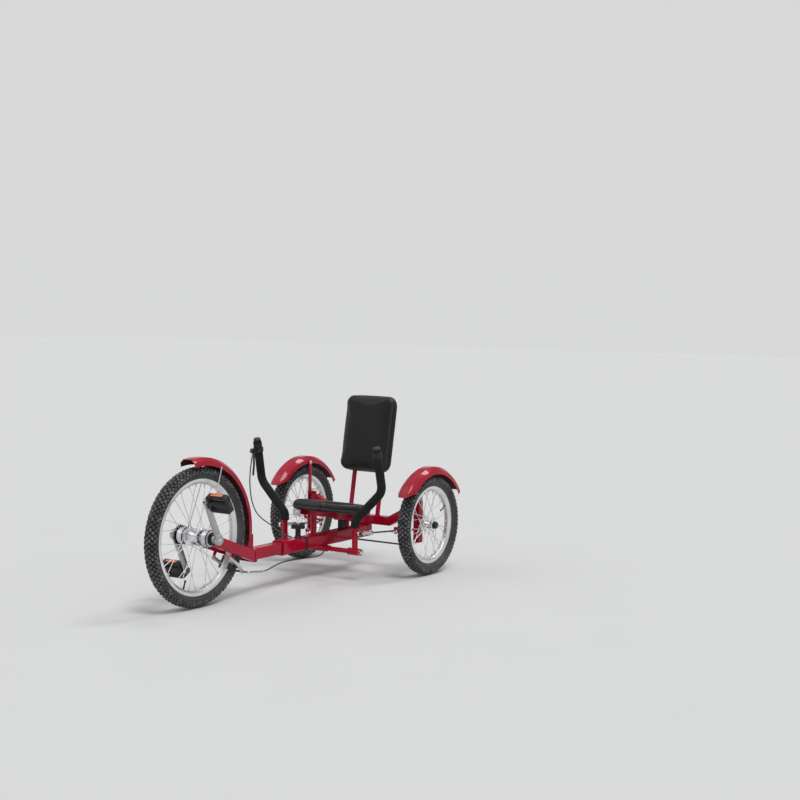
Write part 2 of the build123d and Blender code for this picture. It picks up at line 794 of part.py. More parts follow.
# Knuckles: an upright outboard of each kingpin housing between two lugs, with kingpin, stub axle and
# the arm and pin of the tie rod
low_lug_top = housing_low - bearing_gap
low_lug_bottom = low_lug_top - knuckle_lug_thickness
high_lug_bottom = housing_high + bearing_gap
high_lug_top = high_lug_bottom + knuckle_lug_thickness
upright_in = kingpin_x + kingpin_housing_diameter / 2 + knuckle_upright_gap
upright_out = upright_in + knuckle_upright_thickness
upright_mid = (upright_in + upright_out) / 2
tie_y = kingpin_y - tie_arm_reach
tie_eye_half = tie_eye_height / 2
tie_z = min(
    beam_bottom - tie_under_beam - tie_rod_diameter / 2,
    low_lug_bottom - tie_pin_collar - bearing_gap - tie_eye_half,
)
arm_bottom = rear_radius - steer_arm_below_hub
ball_x = kingpin_x - steer_arm_reach
ball_y = kingpin_y - steer_arm_lead
for side, sign in sides:
    pin_x = sign * kingpin_x
    with BuildPart() as knuckle:
        for lug_z in (low_lug_bottom, high_lug_bottom):
            with BuildSketch(Plane.XY.offset(lug_z)):
                with Locations((pin_x, kingpin_y)):
                    Circle(knuckle_lug_diameter / 2)
                with Locations((sign * upright_mid, kingpin_y)):
                    Rectangle(knuckle_upright_thickness, knuckle_upright_depth)
                make_hull()
            extrude(amount=knuckle_lug_thickness)
        with BuildSketch(Plane.XY.offset(low_lug_bottom)):
            with Locations((sign * upright_mid, kingpin_y)):
                Rectangle(knuckle_upright_thickness, knuckle_upright_depth)
        extrude(amount=high_lug_top - low_lug_bottom)
        with BuildSketch(Plane.XY.offset(low_lug_bottom)):
            with Locations((pin_x, kingpin_y)):
                Circle(kingpin_diameter / 2)
        extrude(amount=high_lug_top - low_lug_bottom)
        with BuildSketch(Plane.XY.offset(high_lug_top)):
            with Locations((pin_x, kingpin_y)):
                RegularPolygon(kingpin_nut_width / 2, 6, major_radius=False)
        extrude(amount=kingpin_nut_height)
        with BuildSketch(Plane.XY.offset(low_lug_bottom)):
            with Locations((pin_x, kingpin_y)):
                Circle(knuckle_lug_diameter / 2)
            with Locations((pin_x, tie_y)):
                Circle(tie_arm_width / 2)
            make_hull()
        extrude(amount=knuckle_lug_thickness)
        with BuildSketch(Plane.XY.offset(low_lug_bottom)):
            with Locations((pin_x, tie_y)):
                Circle(tie_arm_width / 2 - tie_pin_collar)
        extrude(amount=tie_z + tie_eye_half + bearing_gap - low_lug_bottom)
        with BuildSketch(Plane.XY.offset(low_lug_bottom)):
            with Locations((pin_x, tie_y)):
                Circle(tie_pin_diameter / 2)
        extrude(amount=tie_z - tie_eye_half - tie_pin_collar - low_lug_bottom)
        with BuildSketch(across_plane(sign * upright_in, rear_hub_y, rear_radius)):
            Circle(stub_axle_diameter / 2)
        extrude(amount=sign * (track / 2 + rear_hub_outer - upright_in))
        with BuildSketch(across_plane(sign * upright_in, rear_hub_y, rear_radius)):
            Circle(knuckle_boss_diameter / 2)
        extrude(amount=sign * (track / 2 - rear_hub_inner - bearing_gap - upright_in))
    knuckle.part.label = f"knuckle_{side}"
    export_step(knuckle.part, f"parts/knuckle_{side}.step")

    # Steering arm: from the upright's front edge inboard, ahead of the housing, to the ball stud
    upright_front = kingpin_y - knuckle_upright_depth / 2
    corner = (sign * upright_mid, upright_front - steer_arm_corner)
    with BuildPart() as steer_arm:
        with BuildSketch(Plane.XY.offset(arm_bottom)):
            with Locations((sign * ball_x, ball_y)):
                Circle(ball_eye_diameter / 2)
            with Locations(corner):
                Circle(steer_arm_width / 2)
            make_hull()
            with Locations((sign * upright_mid, upright_front)):
                Rectangle(knuckle_upright_thickness, steer_arm_corner, align=(Align.CENTER, Align.MAX))
        extrude(amount=steer_arm_thickness)
        with BuildSketch(Plane.XY.offset(arm_bottom)):
            with Locations((sign * ball_x, ball_y)):
                Circle(ball_stud_diameter / 2)
        extrude(amount=-(ball_eye_height + 2 * bearing_gap))
        with BuildSketch(Plane.XY.offset(arm_bottom - ball_eye_height - 2 * bearing_gap)):
            with Locations((sign * ball_x, ball_y)):
                RegularPolygon(ball_nut_width / 2, 6, major_radius=False)
        extrude(amount=-ball_nut_height)
    steer_arm.part.label = f"steer_arm_{side}"
    export_step(steer_arm.part, f"parts/steer_arm_{side}.step")

    # Rear fender with its strut from the knuckle; its front end is cut back below the crown
    rear_hub = Vector(sign * track / 2, rear_hub_y, rear_radius)
    lip_radius = rear_fender_radius - fender_bevel - fender_lip
    inner_lip = track / 2 - rear_fender_width / 2
    with BuildPart() as rear_fender:
        with BuildSketch(radial_plane(rear_hub, rear_fender_start)):
            with BuildLine():
                Polyline(*fender_half(rear_fender_width, rear_fender_radius))
                mirror(about=Plane.YZ)
            make_face()
        revolve(axis=Axis(rear_hub, (-1, 0, 0)), revolution_arc=rear_fender_end - rear_fender_start)
        crown_tip = around_hub(rear_hub, rear_fender_radius, rear_fender_start)
        lip_tip = around_hub(rear_hub, lip_radius, rear_fender_start + rear_fender_rake)
        below_tip = around_hub(rear_hub, lip_radius - fender_lip, rear_fender_start)
        with BuildSketch(across_plane(rear_hub.X, 0, 0)):
            with BuildLine():
                Polyline(
                    (crown_tip.Y, crown_tip.Z),
                    (lip_tip.Y, lip_tip.Z),
                    (2 * lip_tip.Y - crown_tip.Y, 2 * lip_tip.Z - crown_tip.Z),
                    (below_tip.Y, below_tip.Z),
                    close=True,
                )
            make_face()
        extrude(amount=rear_fender_width, both=True, mode=Mode.SUBTRACT)
        with BuildSketch(Plane.XY.offset(high_lug_top)):
            with Locations((sign * inner_lip, kingpin_y)):
                Rectangle(
                    fender_strut_thickness, fender_strut_width,
                    align=(Align.MAX if sign > 0 else Align.MIN, Align.CENTER),
                )
        extrude(amount=rear_radius + lip_radius + fender_lip - high_lug_top)
    rear_fender.part.label = f"rear_fender_{side}"
    export_step(rear_fender.part, f"parts/rear_fender_{side}.step")

    # Drag link: a turnbuckle from the eye at the stick's pin to the eye on the steering arm's stud
    front_eye = Vector(sign * link_x, pivot_y, link_z)
    rear_eye = Vector(sign * ball_x, ball_y, arm_bottom - bearing_gap - ball_eye_height / 2)
    along = (rear_eye - front_eye).normalized()
    eye_plane = across_plane(front_eye.X, front_eye.Y, front_eye.Z)
    with BuildPart() as drag_link:
        with BuildSketch(Plane(origin=front_eye, z_dir=along)):
            Circle(link_rod_diameter / 2)
        extrude(amount=(rear_eye - front_eye).length)
        with BuildSketch(Plane(origin=front_eye + along * turnbuckle_start, z_dir=along)):
            Circle(turnbuckle_diameter / 2)
        extrude(amount=turnbuckle_length)
        with BuildSketch(Plane(origin=front_eye + along * (turnbuckle_start + turnbuckle_length), z_dir=along)):
            RegularPolygon(turnbuckle_nut_width / 2, 6)
        extrude(amount=turnbuckle_nut_length)
        with BuildSketch(eye_plane):
            Circle(link_eye_diameter / 2)
        extrude(amount=link_eye_thickness / 2, both=True)
        with BuildSketch(eye_plane.offset(sign * link_eye_thickness / 2)):
            RegularPolygon(link_bolt_width / 2, 6)
        extrude(amount=sign * link_bolt_height)
        with BuildSketch(Plane.XY.offset(rear_eye.Z)):
            with Locations((rear_eye.X, rear_eye.Y)):
                Circle(ball_eye_diameter / 2)
        extrude(amount=ball_eye_height / 2, both=True)
        with BuildSketch(Plane.XY.offset(rear_eye.Z)):
            with Locations((rear_eye.X, rear_eye.Y)):
                Circle(ball_stud_diameter / 2 + running_gap)
        extrude(amount=ball_eye_height / 2, both=True, mode=Mode.SUBTRACT)
    drag_link.part.label = f"drag_link_{side}"
    export_step(drag_link.part, f"parts/drag_link_{side}.step")

# Tie rod joins the two knuckles under the main beam
tie_places = ((kingpin_x, tie_y), (-kingpin_x, tie_y))
with BuildPart() as tie_rod:
    with BuildSketch(across_plane(0, tie_y, tie_z)):
        Circle(tie_rod_diameter / 2)
    extrude(amount=kingpin_x, both=True)
    with BuildSketch(Plane.XY.offset(tie_z)):
        with Locations(*tie_places):
            Circle(tie_eye_diameter / 2)
    extrude(amount=tie_eye_half, both=True)
    with BuildSketch(Plane.XY.offset(tie_z)):
        with Locations(*tie_places):
            Circle(tie_pin_diameter / 2 + running_gap)
    extrude(amount=tie_eye_half, both=True, mode=Mode.SUBTRACT)
tie_rod.part.label = "tie_rod"
export_step(tie_rod.part, "parts/tie_rod.step")

# Front fender, its post on the boom's head and its stays from the bearing housings
with BuildPart() as front_fender:
    with BuildSketch(radial_plane(front_hub, front_fender_start)):
        with BuildLine():
            Polyline(*fender_half(front_fender_width, front_fender_radius))
            mirror(about=Plane.YZ)
        make_face()
    revolve(axis=Axis(front_hub, (-1, 0, 0)), revolution_arc=front_fender_end - front_fender_start)
front_fender.part.label = "front_fender"
export_step(front_fender.part, "parts/front_fender.step")

post_back = front_hub_y + front_fender_radius + fender_post_depth
tongue_front = min(post_back - fender_post_depth, fork_end_y)
tongue_back = max(post_back, fork_y + fender_tongue_length)
with BuildPart() as fender_post:
    with BuildSketch(Plane.XY.offset(beam_top)):
        with Locations((0, post_back)):
            Rectangle(fender_post_width, 2 * fender_post_depth, align=(Align.CENTER, Align.MAX))
    extrude(amount=fender_post_height)
    with BuildSketch(Plane.XY.offset(beam_top)):
        with Locations((0, tongue_back)):
            Rectangle(fender_post_width, tongue_back - tongue_front, align=(Align.CENTER, Align.MAX))
    extrude(amount=fender_tongue_thickness)
    with BuildSketch(Plane.XY.offset(boom_top)):
        with Locations((0, fork_y)):
            Rectangle(fender_post_width, fender_tongue_length, align=(Align.CENTER, Align.MIN))
    extrude(amount=beam_top - boom_top)
    with BuildSketch(across_plane(0, front_hub_y, front_radius)):
        Circle(front_fender_radius)
    extrude(amount=fender_post_width, both=True, mode=Mode.SUBTRACT)
fender_post.part.label = "fender_post"
export_step(fender_post.part, "parts/fender_post.step")

stay_top_radius = front_fender_radius - fender_bevel - fender_lip / 2
with BuildPart() as stays:
    for side, sign in sides:
        low = front_hub + Vector(
            sign * (bearing_inner_face + stay_foot_from_bearing), stay_foot_back, bearing_diameter / 2
        )
        high = around_hub(
            front_hub, stay_top_radius, stay_angle, sign * (front_fender_width + stay_diameter) / 2
        )
        with BuildSketch(Plane(origin=low, z_dir=high - low)):
            Circle(stay_diameter / 2)
        extrude(amount=(high - low).length)
    with BuildSketch(across_plane(0, front_hub_y, front_radius)):
        Circle(bearing_diameter / 2 + fork_eye_wall)
    extrude(amount=bearing_outer_face, both=True, mode=Mode.SUBTRACT)
stays.part.label = "fender_stays"
export_step(stays.part, "parts/fender_stays.step")

# Seat pad, tilted down to the rear
seat_post_y = pivot_y + seat_post_from_pivot
tilt = radians(seat_tilt)
seat_plane = Plane(
    origin=(0, seat_post_y, seat_under_height),
    x_dir=(1, 0, 0),
    z_dir=(0, sin(tilt), cos(tilt)),
)
front_edge = (seat_front_from_pivot - seat_post_from_pivot) / cos(tilt)
rear_edge = front_edge + seat_length
with BuildPart() as seat:
    with BuildSketch(seat_plane):
        with BuildLine():
            Polyline(
                (0, front_edge),
                (seat_front_width / 2, front_edge),
                (seat_rear_width / 2, rear_edge - seat_side_length),
                (seat_rear_width / 2, rear_edge),
                (0, rear_edge),
            )
            mirror(about=Plane.YZ)
        make_face()
        fillet(vertices().filter_by(lambda corner: abs(corner.X) > seat_rail_x), seat_corner_radius)
    extrude(amount=seat_thickness)
    fillet(seat.faces().sort_by(Axis.Z)[-1].edges(), seat_edge_radius)
seat.part.label = "seat_cushion"
export_step(seat.part, "parts/seat_cushion.step")

# Seat frame: two rails joined at the front post and at the rear post
rear_post_y = seat_post_y + seat_post_spacing
rail_front = -seat_rail_ahead
rail_rear = seat_post_spacing / cos(tilt) + seat_rail_behind
with BuildPart() as seat_frame:
    with BuildSketch(Plane.XY.offset(beam_top)):
        with Locations((0, seat_post_y)):
            Circle(seat_post_diameter / 2)
        with Locations((0, rear_post_y)):
            Circle(seat_rear_post_diameter / 2)
    extrude(amount=seat_under_height - beam_top)
    split(bisect_by=seat_plane, keep=Keep.BOTTOM)
    with BuildSketch(seat_plane):
        with Locations((-seat_rail_x, (rail_front + rail_rear) / 2), (seat_rail_x, (rail_front + rail_rear) / 2)):
            Rectangle(seat_rail_size, rail_rear - rail_front)
        with Locations((0, 0), (0, seat_post_spacing / cos(tilt))):
            Rectangle(2 * seat_rail_x, seat_post_diameter)
    extrude(amount=-seat_rail_size)
seat_frame.part.label = "seat_frame"
export_step(seat_frame.part, "parts/seat_frame.step")

# Rubber block on the beam ahead of the rear post
with BuildPart() as seat_block:
    with BuildSketch(Plane.XY.offset(beam_top)):
        with Locations((0, rear_post_y - seat_block_from_post)):
            Rectangle(seat_block_width, seat_block_length)
    extrude(amount=seat_block_height)
seat_block.part.label = "seat_block"
export_step(seat_block.part, "parts/seat_block.step")

# Backrest on two leaning posts from the axle beam
lean = radians(back_lean)
back_up = Vector(0, sin(lean), cos(lean))
back_front = Vector(0, -cos(lean), sin(lean))
post_length = (back_low + back_height - back_post_below_top - axle_beam_top) / cos(lean)
for side, sign in sides:
    post_foot = Vector(sign * back_post_x, kingpin_y, axle_beam_top)
    with BuildPart() as back_post:
        with BuildSketch(Plane(origin=post_foot - back_up * back_post_diameter, z_dir=back_up)):
            Circle(back_post_diameter / 2)
        extrude(amount=back_post_diameter + post_length)
        split(bisect_by=Plane.XY.offset(axle_beam_top))
    back_post.part.label = f"back_post_{side}"
    export_step(back_post.part, f"parts/back_post_{side}.step")

back_centre_z = back_low + back_height * cos(lean) / 2
back_centre = (
    Vector(0, kingpin_y, axle_beam_top)
    + back_up * ((back_centre_z - axle_beam_top) / cos(lean))
    + back_front * (back_post_diameter / 2 + back_pad_gap)
)
with BuildPart() as back_pad:
    with BuildSketch(Plane(origin=back_centre, x_dir=(1, 0, 0), z_dir=back_front)):
        RectangleRounded(back_width, back_height, back_corner_radius)
    extrude(amount=back_thickness)
    fillet(back_pad.faces().sort_by(Axis.Y)[0].edges(), back_edge_radius)
back_pad.part.label = "back_cushion"
export_step(back_pad.part, "parts/back_cushion.step")

# Rim brake under the fork arms: arms, pads and the curved cable guide behind the tyre
arm_inner = brake_pivot_x - brake_arm_width / 2
arm_outer = brake_pivot_x + brake_arm_width / 2
knee_radius = front_radius - brake_knee_inset
tip_radius = front_radius + brake_tip_clearance
with BuildPart() as brake_arms:
    for side, sign in sides:
        with BuildSketch(brake_plane):
            with BuildLine():
                Polyline(
                    (sign * arm_inner, brake_pivot_radius - brake_arm_root),
                    (sign * arm_outer, brake_pivot_radius - brake_arm_root),
                    (sign * arm_outer, knee_radius),
                    (sign * (brake_tip_x + brake_arm_width), tip_radius - brake_tip_length),
                    (sign * (brake_tip_x + brake_arm_width), tip_radius),
                    (sign * brake_tip_x, tip_radius),
                    (sign * brake_tip_x, tip_radius - brake_tip_length),
                    (sign * arm_inner, knee_radius),
                    close=True,
                )
            make_face()
        extrude(amount=brake_arm_thickness / 2, both=True)
brake_arms.part.label = "brake_arms"
export_step(brake_arms.part, "parts/brake_arms.step")

pad_radius = front_rim_diameter / 2 - brake_pad_below_edge
pad_inner = rim_width / 2 + brake_pad_gap
pad_outer = pad_inner + brake_pad_depth
with BuildPart() as brake_pads:
    for side, sign in sides:
        with BuildSketch(brake_plane):
            with Locations((sign * (pad_inner + pad_outer) / 2, pad_radius)):
                Rectangle(brake_pad_depth, brake_pad_height)
        extrude(amount=brake_pad_length / 2, both=True)
        with BuildSketch(brake_plane):
            with Locations((sign * (pad_outer + arm_inner) / 2, pad_radius)):
                Rectangle(arm_inner - pad_outer, brake_pad_post)
        extrude(amount=brake_pad_post / 2, both=True)
brake_pads.part.label = "brake_pads"
export_step(brake_pads.part, "parts/brake_pads.step")

# Cable guide: leaves the left brake arm's tip outward, then bends back along the boom
guide_start = around_hub(
    front_hub, tip_radius - brake_tip_length / 2, 90 + brake_angle, brake_tip_x + brake_arm_width
)
guide_corner = guide_start + Vector(guide_reach, 0, 0)
guide_end = guide_corner + Vector(0, guide_run, -guide_drop)
with BuildPart() as guide:
    with BuildLine():
        FilletPolyline(guide_start, guide_corner, guide_end, radius=[guide_radius])
    with BuildSketch(Plane(origin=guide_start, z_dir=(1, 0, 0))):
        Circle(guide_diameter / 2)
    sweep()
guide.part.label = "brake_guide"
export_step(guide.part, "parts/brake_guide.step")

# Brake cable: from the lever on the right stick to the strap on the beam, back along it, round behind the
# crossbar and forward below the beam to the cable guide
strap_y = knob_y + strap_behind_knob
beam_side_x = -(beam_size / 2 + cable_gap + cable_diameter / 2)
right_lower, right_elbow, right_top = stick_points(-1)
grip_up = (right_top - right_elbow).normalized()
clamp_centre = right_top - grip_up * lever_drop
lever_mouth = clamp_centre + Vector(0, -38, -12.3)
cable_join = Vector(beam_side_x, strap_y + 14, beam_height + 15)
upper_points = [
    lever_mouth,
    lever_mouth + Vector(-2, -10, -58),
    lever_mouth + Vector(-1, -16, -116),
    lever_mouth + Vector(3, -14, -170),
    Vector(-292, 172, 282),
    Vector(-262, 160, 248),
    Vector(-222, 145, 229),
    Vector(-176, 129, 217),
    Vector(-132, 108, 209),
    Vector(-98, 89, 202),
    Vector(-72, 78, 197),
    Vector(-51, 71, 192),
    Vector(-36, 74, 186),
    Vector(beam_side_x - 0.5, strap_y - 40, beam_height + 27),
    Vector(beam_side_x, strap_y - 25, beam_height + 21),
    Vector(beam_side_x, strap_y - 8, beam_height + 17),
    cable_join,
]
lower_points = [
    cable_join,
    cable_join + Vector(0, 20, -2),
    Vector(beam_side_x, strap_y + 66, beam_height + 10),
    Vector(beam_side_x - 1, pivot_y - 14, beam_height + 9),
    Vector(beam_side_x - 1, pivot_y + 28, beam_height + 6),
    Vector(beam_side_x - 2, pivot_y + 58, beam_height - 4),
    Vector(beam_side_x - 1, pivot_y + 76, beam_height - 26),
    Vector(beam_side_x + 5, pivot_y + 72, beam_height - 52),
    Vector(beam_side_x + 10, pivot_y + 46, beam_height - 70),
    Vector(beam_side_x + 16, pivot_y - 6, beam_height - 73),
    Vector(-6, pivot_y - 76, 86),
    Vector(3, pivot_y - 150, 92),
    Vector(11, pivot_y - 224, 97),
    Vector(22, pivot_y - 298, 97),
    Vector(38, pivot_y - 366, 91),
    guide_end + (guide_end - guide_corner).normalized() * 40,
    guide_end,
]
for cable_name, points in (("upper", upper_points), ("lower", lower_points)):
    radii = bend_radii(points)
    print(cable_name, "cable radii", [round(radius) for radius in radii])
    with BuildPart() as cable:
        with BuildLine():
            FilletPolyline(*points, radius=radii)
        with BuildSketch(Plane(origin=points[0], z_dir=points[1] - points[0])):
            Circle(cable_diameter / 2)
        sweep()
    cable.part.label = f"brake_cable_{cable_name}"
    export_step(cable.part, f"parts/brake_cable_{cable_name}.step")

# Strap holds the cable to the beam's right side
strap_room = cable_diameter + 2 * cable_gap
strap_inside = beam_size + 2 * cable_gap
with BuildPart() as strap:
    with BuildSketch(facing_plane(strap_y + strap_width / 2, beam_height)):
        with Locations((-strap_room / 2, 0)):
            RectangleRounded(
                strap_inside + strap_room + 2 * strap_thickness,
                strap_inside + 2 * strap_thickness,
                beam_corner_radius + strap_thickness,
            )
            RectangleRounded(strap_inside + strap_room, strap_inside, beam_corner_radius, mode=Mode.SUBTRACT)
    extrude(amount=strap_width)
strap.part.label = "cable_tie"
export_step(strap.part, "parts/cable_tie.step")

# Brake lever: clamp round the right grip, body ahead of it and a blade that follows the grip down
clamp_inner = foam_diameter / 2 + lever_clamp_gap
with BuildPart() as lever:
    with BuildSketch(Plane(origin=clamp_centre, z_dir=grip_up)):
        Circle(clamp_inner + lever_clamp_wall)
        Circle(clamp_inner, mode=Mode.SUBTRACT)
    extrude(amount=lever_clamp_width / 2, both=True)
    with BuildSketch(across_plane(clamp_centre.X, clamp_centre.Y, clamp_centre.Z)):
        with BuildLine():
            Polyline((-20, 7), (-44, 7), (-50, -5), (-44, -12), (-20, -8), close=True)
        make_face()
    extrude(amount=lever_body_width / 2, both=True)
    with BuildSketch(across_plane(clamp_centre.X + lever_body_width / 2, clamp_centre.Y, clamp_centre.Z)):
        with BuildLine():
            Polyline((-34, -2), (-40, -22), (-38, -60), (-43, -104))
        trace(line_width=lever_blade_width)
    extrude(amount=lever_blade_thickness)
    with BuildSketch(across_plane(clamp_centre.X, clamp_centre.Y, clamp_centre.Z)):
        with Locations((-34, -1)):
            Circle(lever_pivot_diameter / 2)
    extrude(amount=lever_body_width / 2 + lever_blade_thickness + 1)
lever.part.label = "brake_lever"
export_step(lever.part, "parts/brake_lever.step")
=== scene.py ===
import json
import math

import bmesh
import bpy
from mathutils import Matrix, Vector


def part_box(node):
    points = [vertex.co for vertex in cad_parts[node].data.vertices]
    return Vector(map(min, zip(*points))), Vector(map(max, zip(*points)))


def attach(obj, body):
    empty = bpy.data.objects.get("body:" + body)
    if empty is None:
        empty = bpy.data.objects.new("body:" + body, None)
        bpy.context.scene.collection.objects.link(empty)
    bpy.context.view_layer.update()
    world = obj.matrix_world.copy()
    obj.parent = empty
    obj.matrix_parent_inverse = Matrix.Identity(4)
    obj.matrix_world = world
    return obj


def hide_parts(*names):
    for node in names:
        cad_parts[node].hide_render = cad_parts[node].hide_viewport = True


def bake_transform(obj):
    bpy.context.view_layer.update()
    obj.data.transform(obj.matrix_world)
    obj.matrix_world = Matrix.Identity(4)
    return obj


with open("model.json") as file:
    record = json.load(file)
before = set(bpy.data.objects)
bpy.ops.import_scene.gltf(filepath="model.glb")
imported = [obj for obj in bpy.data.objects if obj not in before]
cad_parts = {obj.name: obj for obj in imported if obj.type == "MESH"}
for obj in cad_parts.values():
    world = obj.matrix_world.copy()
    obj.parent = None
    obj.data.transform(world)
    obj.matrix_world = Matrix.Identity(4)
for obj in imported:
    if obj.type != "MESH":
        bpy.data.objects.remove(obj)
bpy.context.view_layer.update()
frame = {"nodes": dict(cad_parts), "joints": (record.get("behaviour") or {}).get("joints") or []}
nodes = frame["nodes"]
scene = bpy.context.scene

# Recumbent trike: metres, +X to the rider's left, -Y ahead, +Z up.
X, Y, Z = Vector((1, 0, 0)), Vector((0, 1, 0)), Vector((0, 0, 1))
sides = (("left", 1), ("right", -1))
turn_places = {joint["child"]: Vector(joint["pos_m"]) for joint in frame["joints"] if "pos_m" in joint}
front_hub = turn_places["front_wheel"]
rear_hubs = {side: turn_places[f"rear_wheel_{side}"] for side, sign in sides}
pedal_centres = {side: turn_places[f"pedal_{side}"] for side, sign in sides}


# Camera at the photograph's angle, as it was fitted to the wheels and the horizon

yaw, pitch, roll = 0.57925, 0.06477, 0.01383
camera_place = (3.4705, -4.4762, 1.1049)
focal_pixels, photo_width, sensor_width = 1448.494, 800, 36
right = Vector((math.cos(yaw), math.sin(yaw), 0))
ahead = Vector((-math.sin(yaw) * math.cos(pitch), math.cos(yaw) * math.cos(pitch), -math.sin(pitch)))
upright = right.cross(ahead)
across = math.cos(roll) * right + math.sin(roll) * upright
upward = math.cos(roll) * upright - math.sin(roll) * right
camera = bpy.data.objects.new("camera", bpy.data.cameras.new("camera"))
scene.collection.objects.link(camera)
camera.data.sensor_width = sensor_width
camera.data.lens = focal_pixels * sensor_width / photo_width
view = Matrix.Identity(4)
for column, axis in enumerate((across, upward, -ahead)):
    view[0][column], view[1][column], view[2][column] = axis
view.translation = camera_place
camera.matrix_world = view
scene.camera = camera


# Finishes

def set_stops(ramp, stops):
    """Colours of a ramp node, from its first stop to its last."""
    elements = ramp.color_ramp.elements
    for number in (0, -1):
        elements[number].position = stops[number][0]
        elements[number].color = (*stops[number][1], 1)
    for position, colour in stops[1:-1]:
        elements.new(position).color = (*colour, 1)


class Finish:
    """A material whose constants sit on the shader and whose patterns read Object coordinates.

    A pattern is the output of mottle or cells, or the (scale, detail) of a plain mottle.
    """

    def __init__(self, name, slot, colour, roughness, metallic=0.0, **settings):
        self.slot = slot
        self.material = bpy.data.materials.new(name)
        self.material.use_nodes = True
        self.tree = self.material.node_tree
        self.shader = self.tree.nodes["Principled BSDF"]
        self.place = self.tree.nodes.new("ShaderNodeTexCoord").outputs["Object"]
        self.set("Base Color", (*colour, 1))
        self.set("Roughness", roughness)
        self.set("Metallic", metallic)
        for socket, value in settings.items():
            self.set(socket.replace("_", " "), value)
        self.material.diffuse_color = (*colour, 1)

    def set(self, socket, value):
        self.shader.inputs[socket].default_value = value

    def stretched(self, scale):
        mapping = self.tree.nodes.new("ShaderNodeMapping")
        mapping.inputs["Scale"].default_value = scale
        self.tree.links.new(self.place, mapping.inputs["Vector"])
        return mapping.outputs["Vector"]

    def drawn(self, pattern):
        return self.mottle(*pattern) if isinstance(pattern, tuple) else pattern

    def mottle(self, scale, detail, stretch=None):
        pattern = self.tree.nodes.new("ShaderNodeTexNoise")
        pattern.inputs["Scale"].default_value = scale
        pattern.inputs["Detail"].default_value = detail
        self.tree.links.new(self.stretched(stretch) if stretch else self.place, pattern.inputs["Vector"])
        return pattern.outputs["Fac"]

    def cells(self, scale, feature="F1"):
        pattern = self.tree.nodes.new("ShaderNodeTexVoronoi")
        pattern.feature = feature
        pattern.inputs["Scale"].default_value = scale
        self.tree.links.new(self.place, pattern.inputs["Vector"])
        return pattern.outputs["Distance"]

    def tint(self, pattern, *stops):
        ramp = self.tree.nodes.new("ShaderNodeValToRGB")
        set_stops(ramp, stops)
        self.tree.links.new(self.drawn(pattern), ramp.inputs["Fac"])
        self.tree.links.new(ramp.outputs["Color"], self.shader.inputs["Base Color"])

    def polish(self, pattern, low, high, start=0.3, end=0.7):
        span = self.tree.nodes.new("ShaderNodeMapRange")
        for socket, value in (("From Min", start), ("From Max", end), ("To Min", low), ("To Max", high)):
            span.inputs[socket].default_value = value
        self.tree.links.new(self.drawn(pattern), span.inputs["Value"])
        self.tree.links.new(span.outputs["Result"], self.shader.inputs["Roughness"])

    def relief(self, pattern, strength, depth):
        bump = self.tree.nodes.new("ShaderNodeBump")
        bump.inputs["Strength"].default_value = strength
        bump.inputs["Distance"].default_value = depth
        if self.shader.inputs["Normal"].is_linked:
            self.tree.links.new(self.shader.inputs["Normal"].links[0].from_socket, bump.inputs["Normal"])
        self.tree.links.new(self.drawn(pattern), bump.inputs["Height"])
        self.tree.links.new(bump.outputs["Normal"], self.shader.inputs["Normal"])


crimson = Finish(
    "gloss_crimson_paint", "frame_paint", (0.36, 0.0007, 0.02), 0.34,
    Specular_IOR_Level=0.05, Coat_Weight=0.65, Coat_IOR=1.4, Coat_Roughness=0.07,
)
crimson.tint((5.0, 2), (0.3, (0.32, 0.0006, 0.017)), (0.7, (0.39, 0.001, 0.024)))
crimson.polish((40.0, 3), 0.28, 0.42)
crimson.relief((90.0, 1), 0.03, 0.0006)

# Painted shade: a darker, rougher red on the fender faces that face the wheel, standing in for the shade
# under the fenders.
painted_shade_underside = Finish("crimson_painted_shade_underside", "frame_paint", (0.12, 0.002, 0.008), 0.6)
painted_shade_underside.tint((30.0, 5), (0.35, (0.05, 0.002, 0.005)), (0.7, (0.11, 0.004, 0.01)))
painted_shade_underside.polish((70.0, 4), 0.5, 0.8)
painted_shade_underside.relief((300.0, 3), 0.15, 0.0004)

rubber = Finish("tyre_rubber_blocks", "tyre_rubber", (0.09, 0.09, 0.093), 0.8)
rubber.tint(
    (38.0, 5),
    (0.34, (0.045, 0.045, 0.048)), (0.5, (0.088, 0.088, 0.092)), (0.68, (0.165, 0.162, 0.158)),
)
rubber.polish((60.0, 4), 0.62, 0.92)
rubber.relief((900.0, 3), 0.25, 0.0005)

sidewall = Finish("tyre_sidewall", "tyre_rubber", (0.05, 0.05, 0.053), 0.7)
sidewall.tint((11.0, 5), (0.35, (0.036, 0.036, 0.038)), (0.7, (0.068, 0.067, 0.068)))
sidewall.polish((45.0, 4), 0.52, 0.78)
sidewall.relief((700.0, 3), 0.12, 0.0004)

# Painted shade: near-black rubber on the carcass crown between the blocks, standing in for the shade between
# them.
tread_bed_painted_shade = Finish("tyre_tread_bed_painted_shade", "tyre_rubber", (0.014, 0.014, 0.015), 0.9)
tread_bed_painted_shade.tint((30.0, 5), (0.35, (0.009, 0.009, 0.01)), (0.7, (0.024, 0.023, 0.023)))
tread_bed_painted_shade.relief((600.0, 3), 0.3, 0.0005)

rim_silver = Finish("rim_alloy_satin", "satin_metal", (0.78, 0.79, 0.8), 0.3, 0.9)
rim_silver.tint((9.0, 3), (0.3, (0.66, 0.67, 0.68)), (0.7, (0.86, 0.86, 0.87)))
rim_silver.polish((300.0, 4), 0.24, 0.42)

spoke_steel = Finish("spoke_steel", "bright_metal", (0.7, 0.7, 0.71), 0.55, 1.0)
spoke_steel.tint((60.0, 3), (0.3, (0.62, 0.62, 0.63)), (0.7, (0.76, 0.76, 0.77)))
spoke_steel.polish((90.0, 3), 0.5, 0.62)

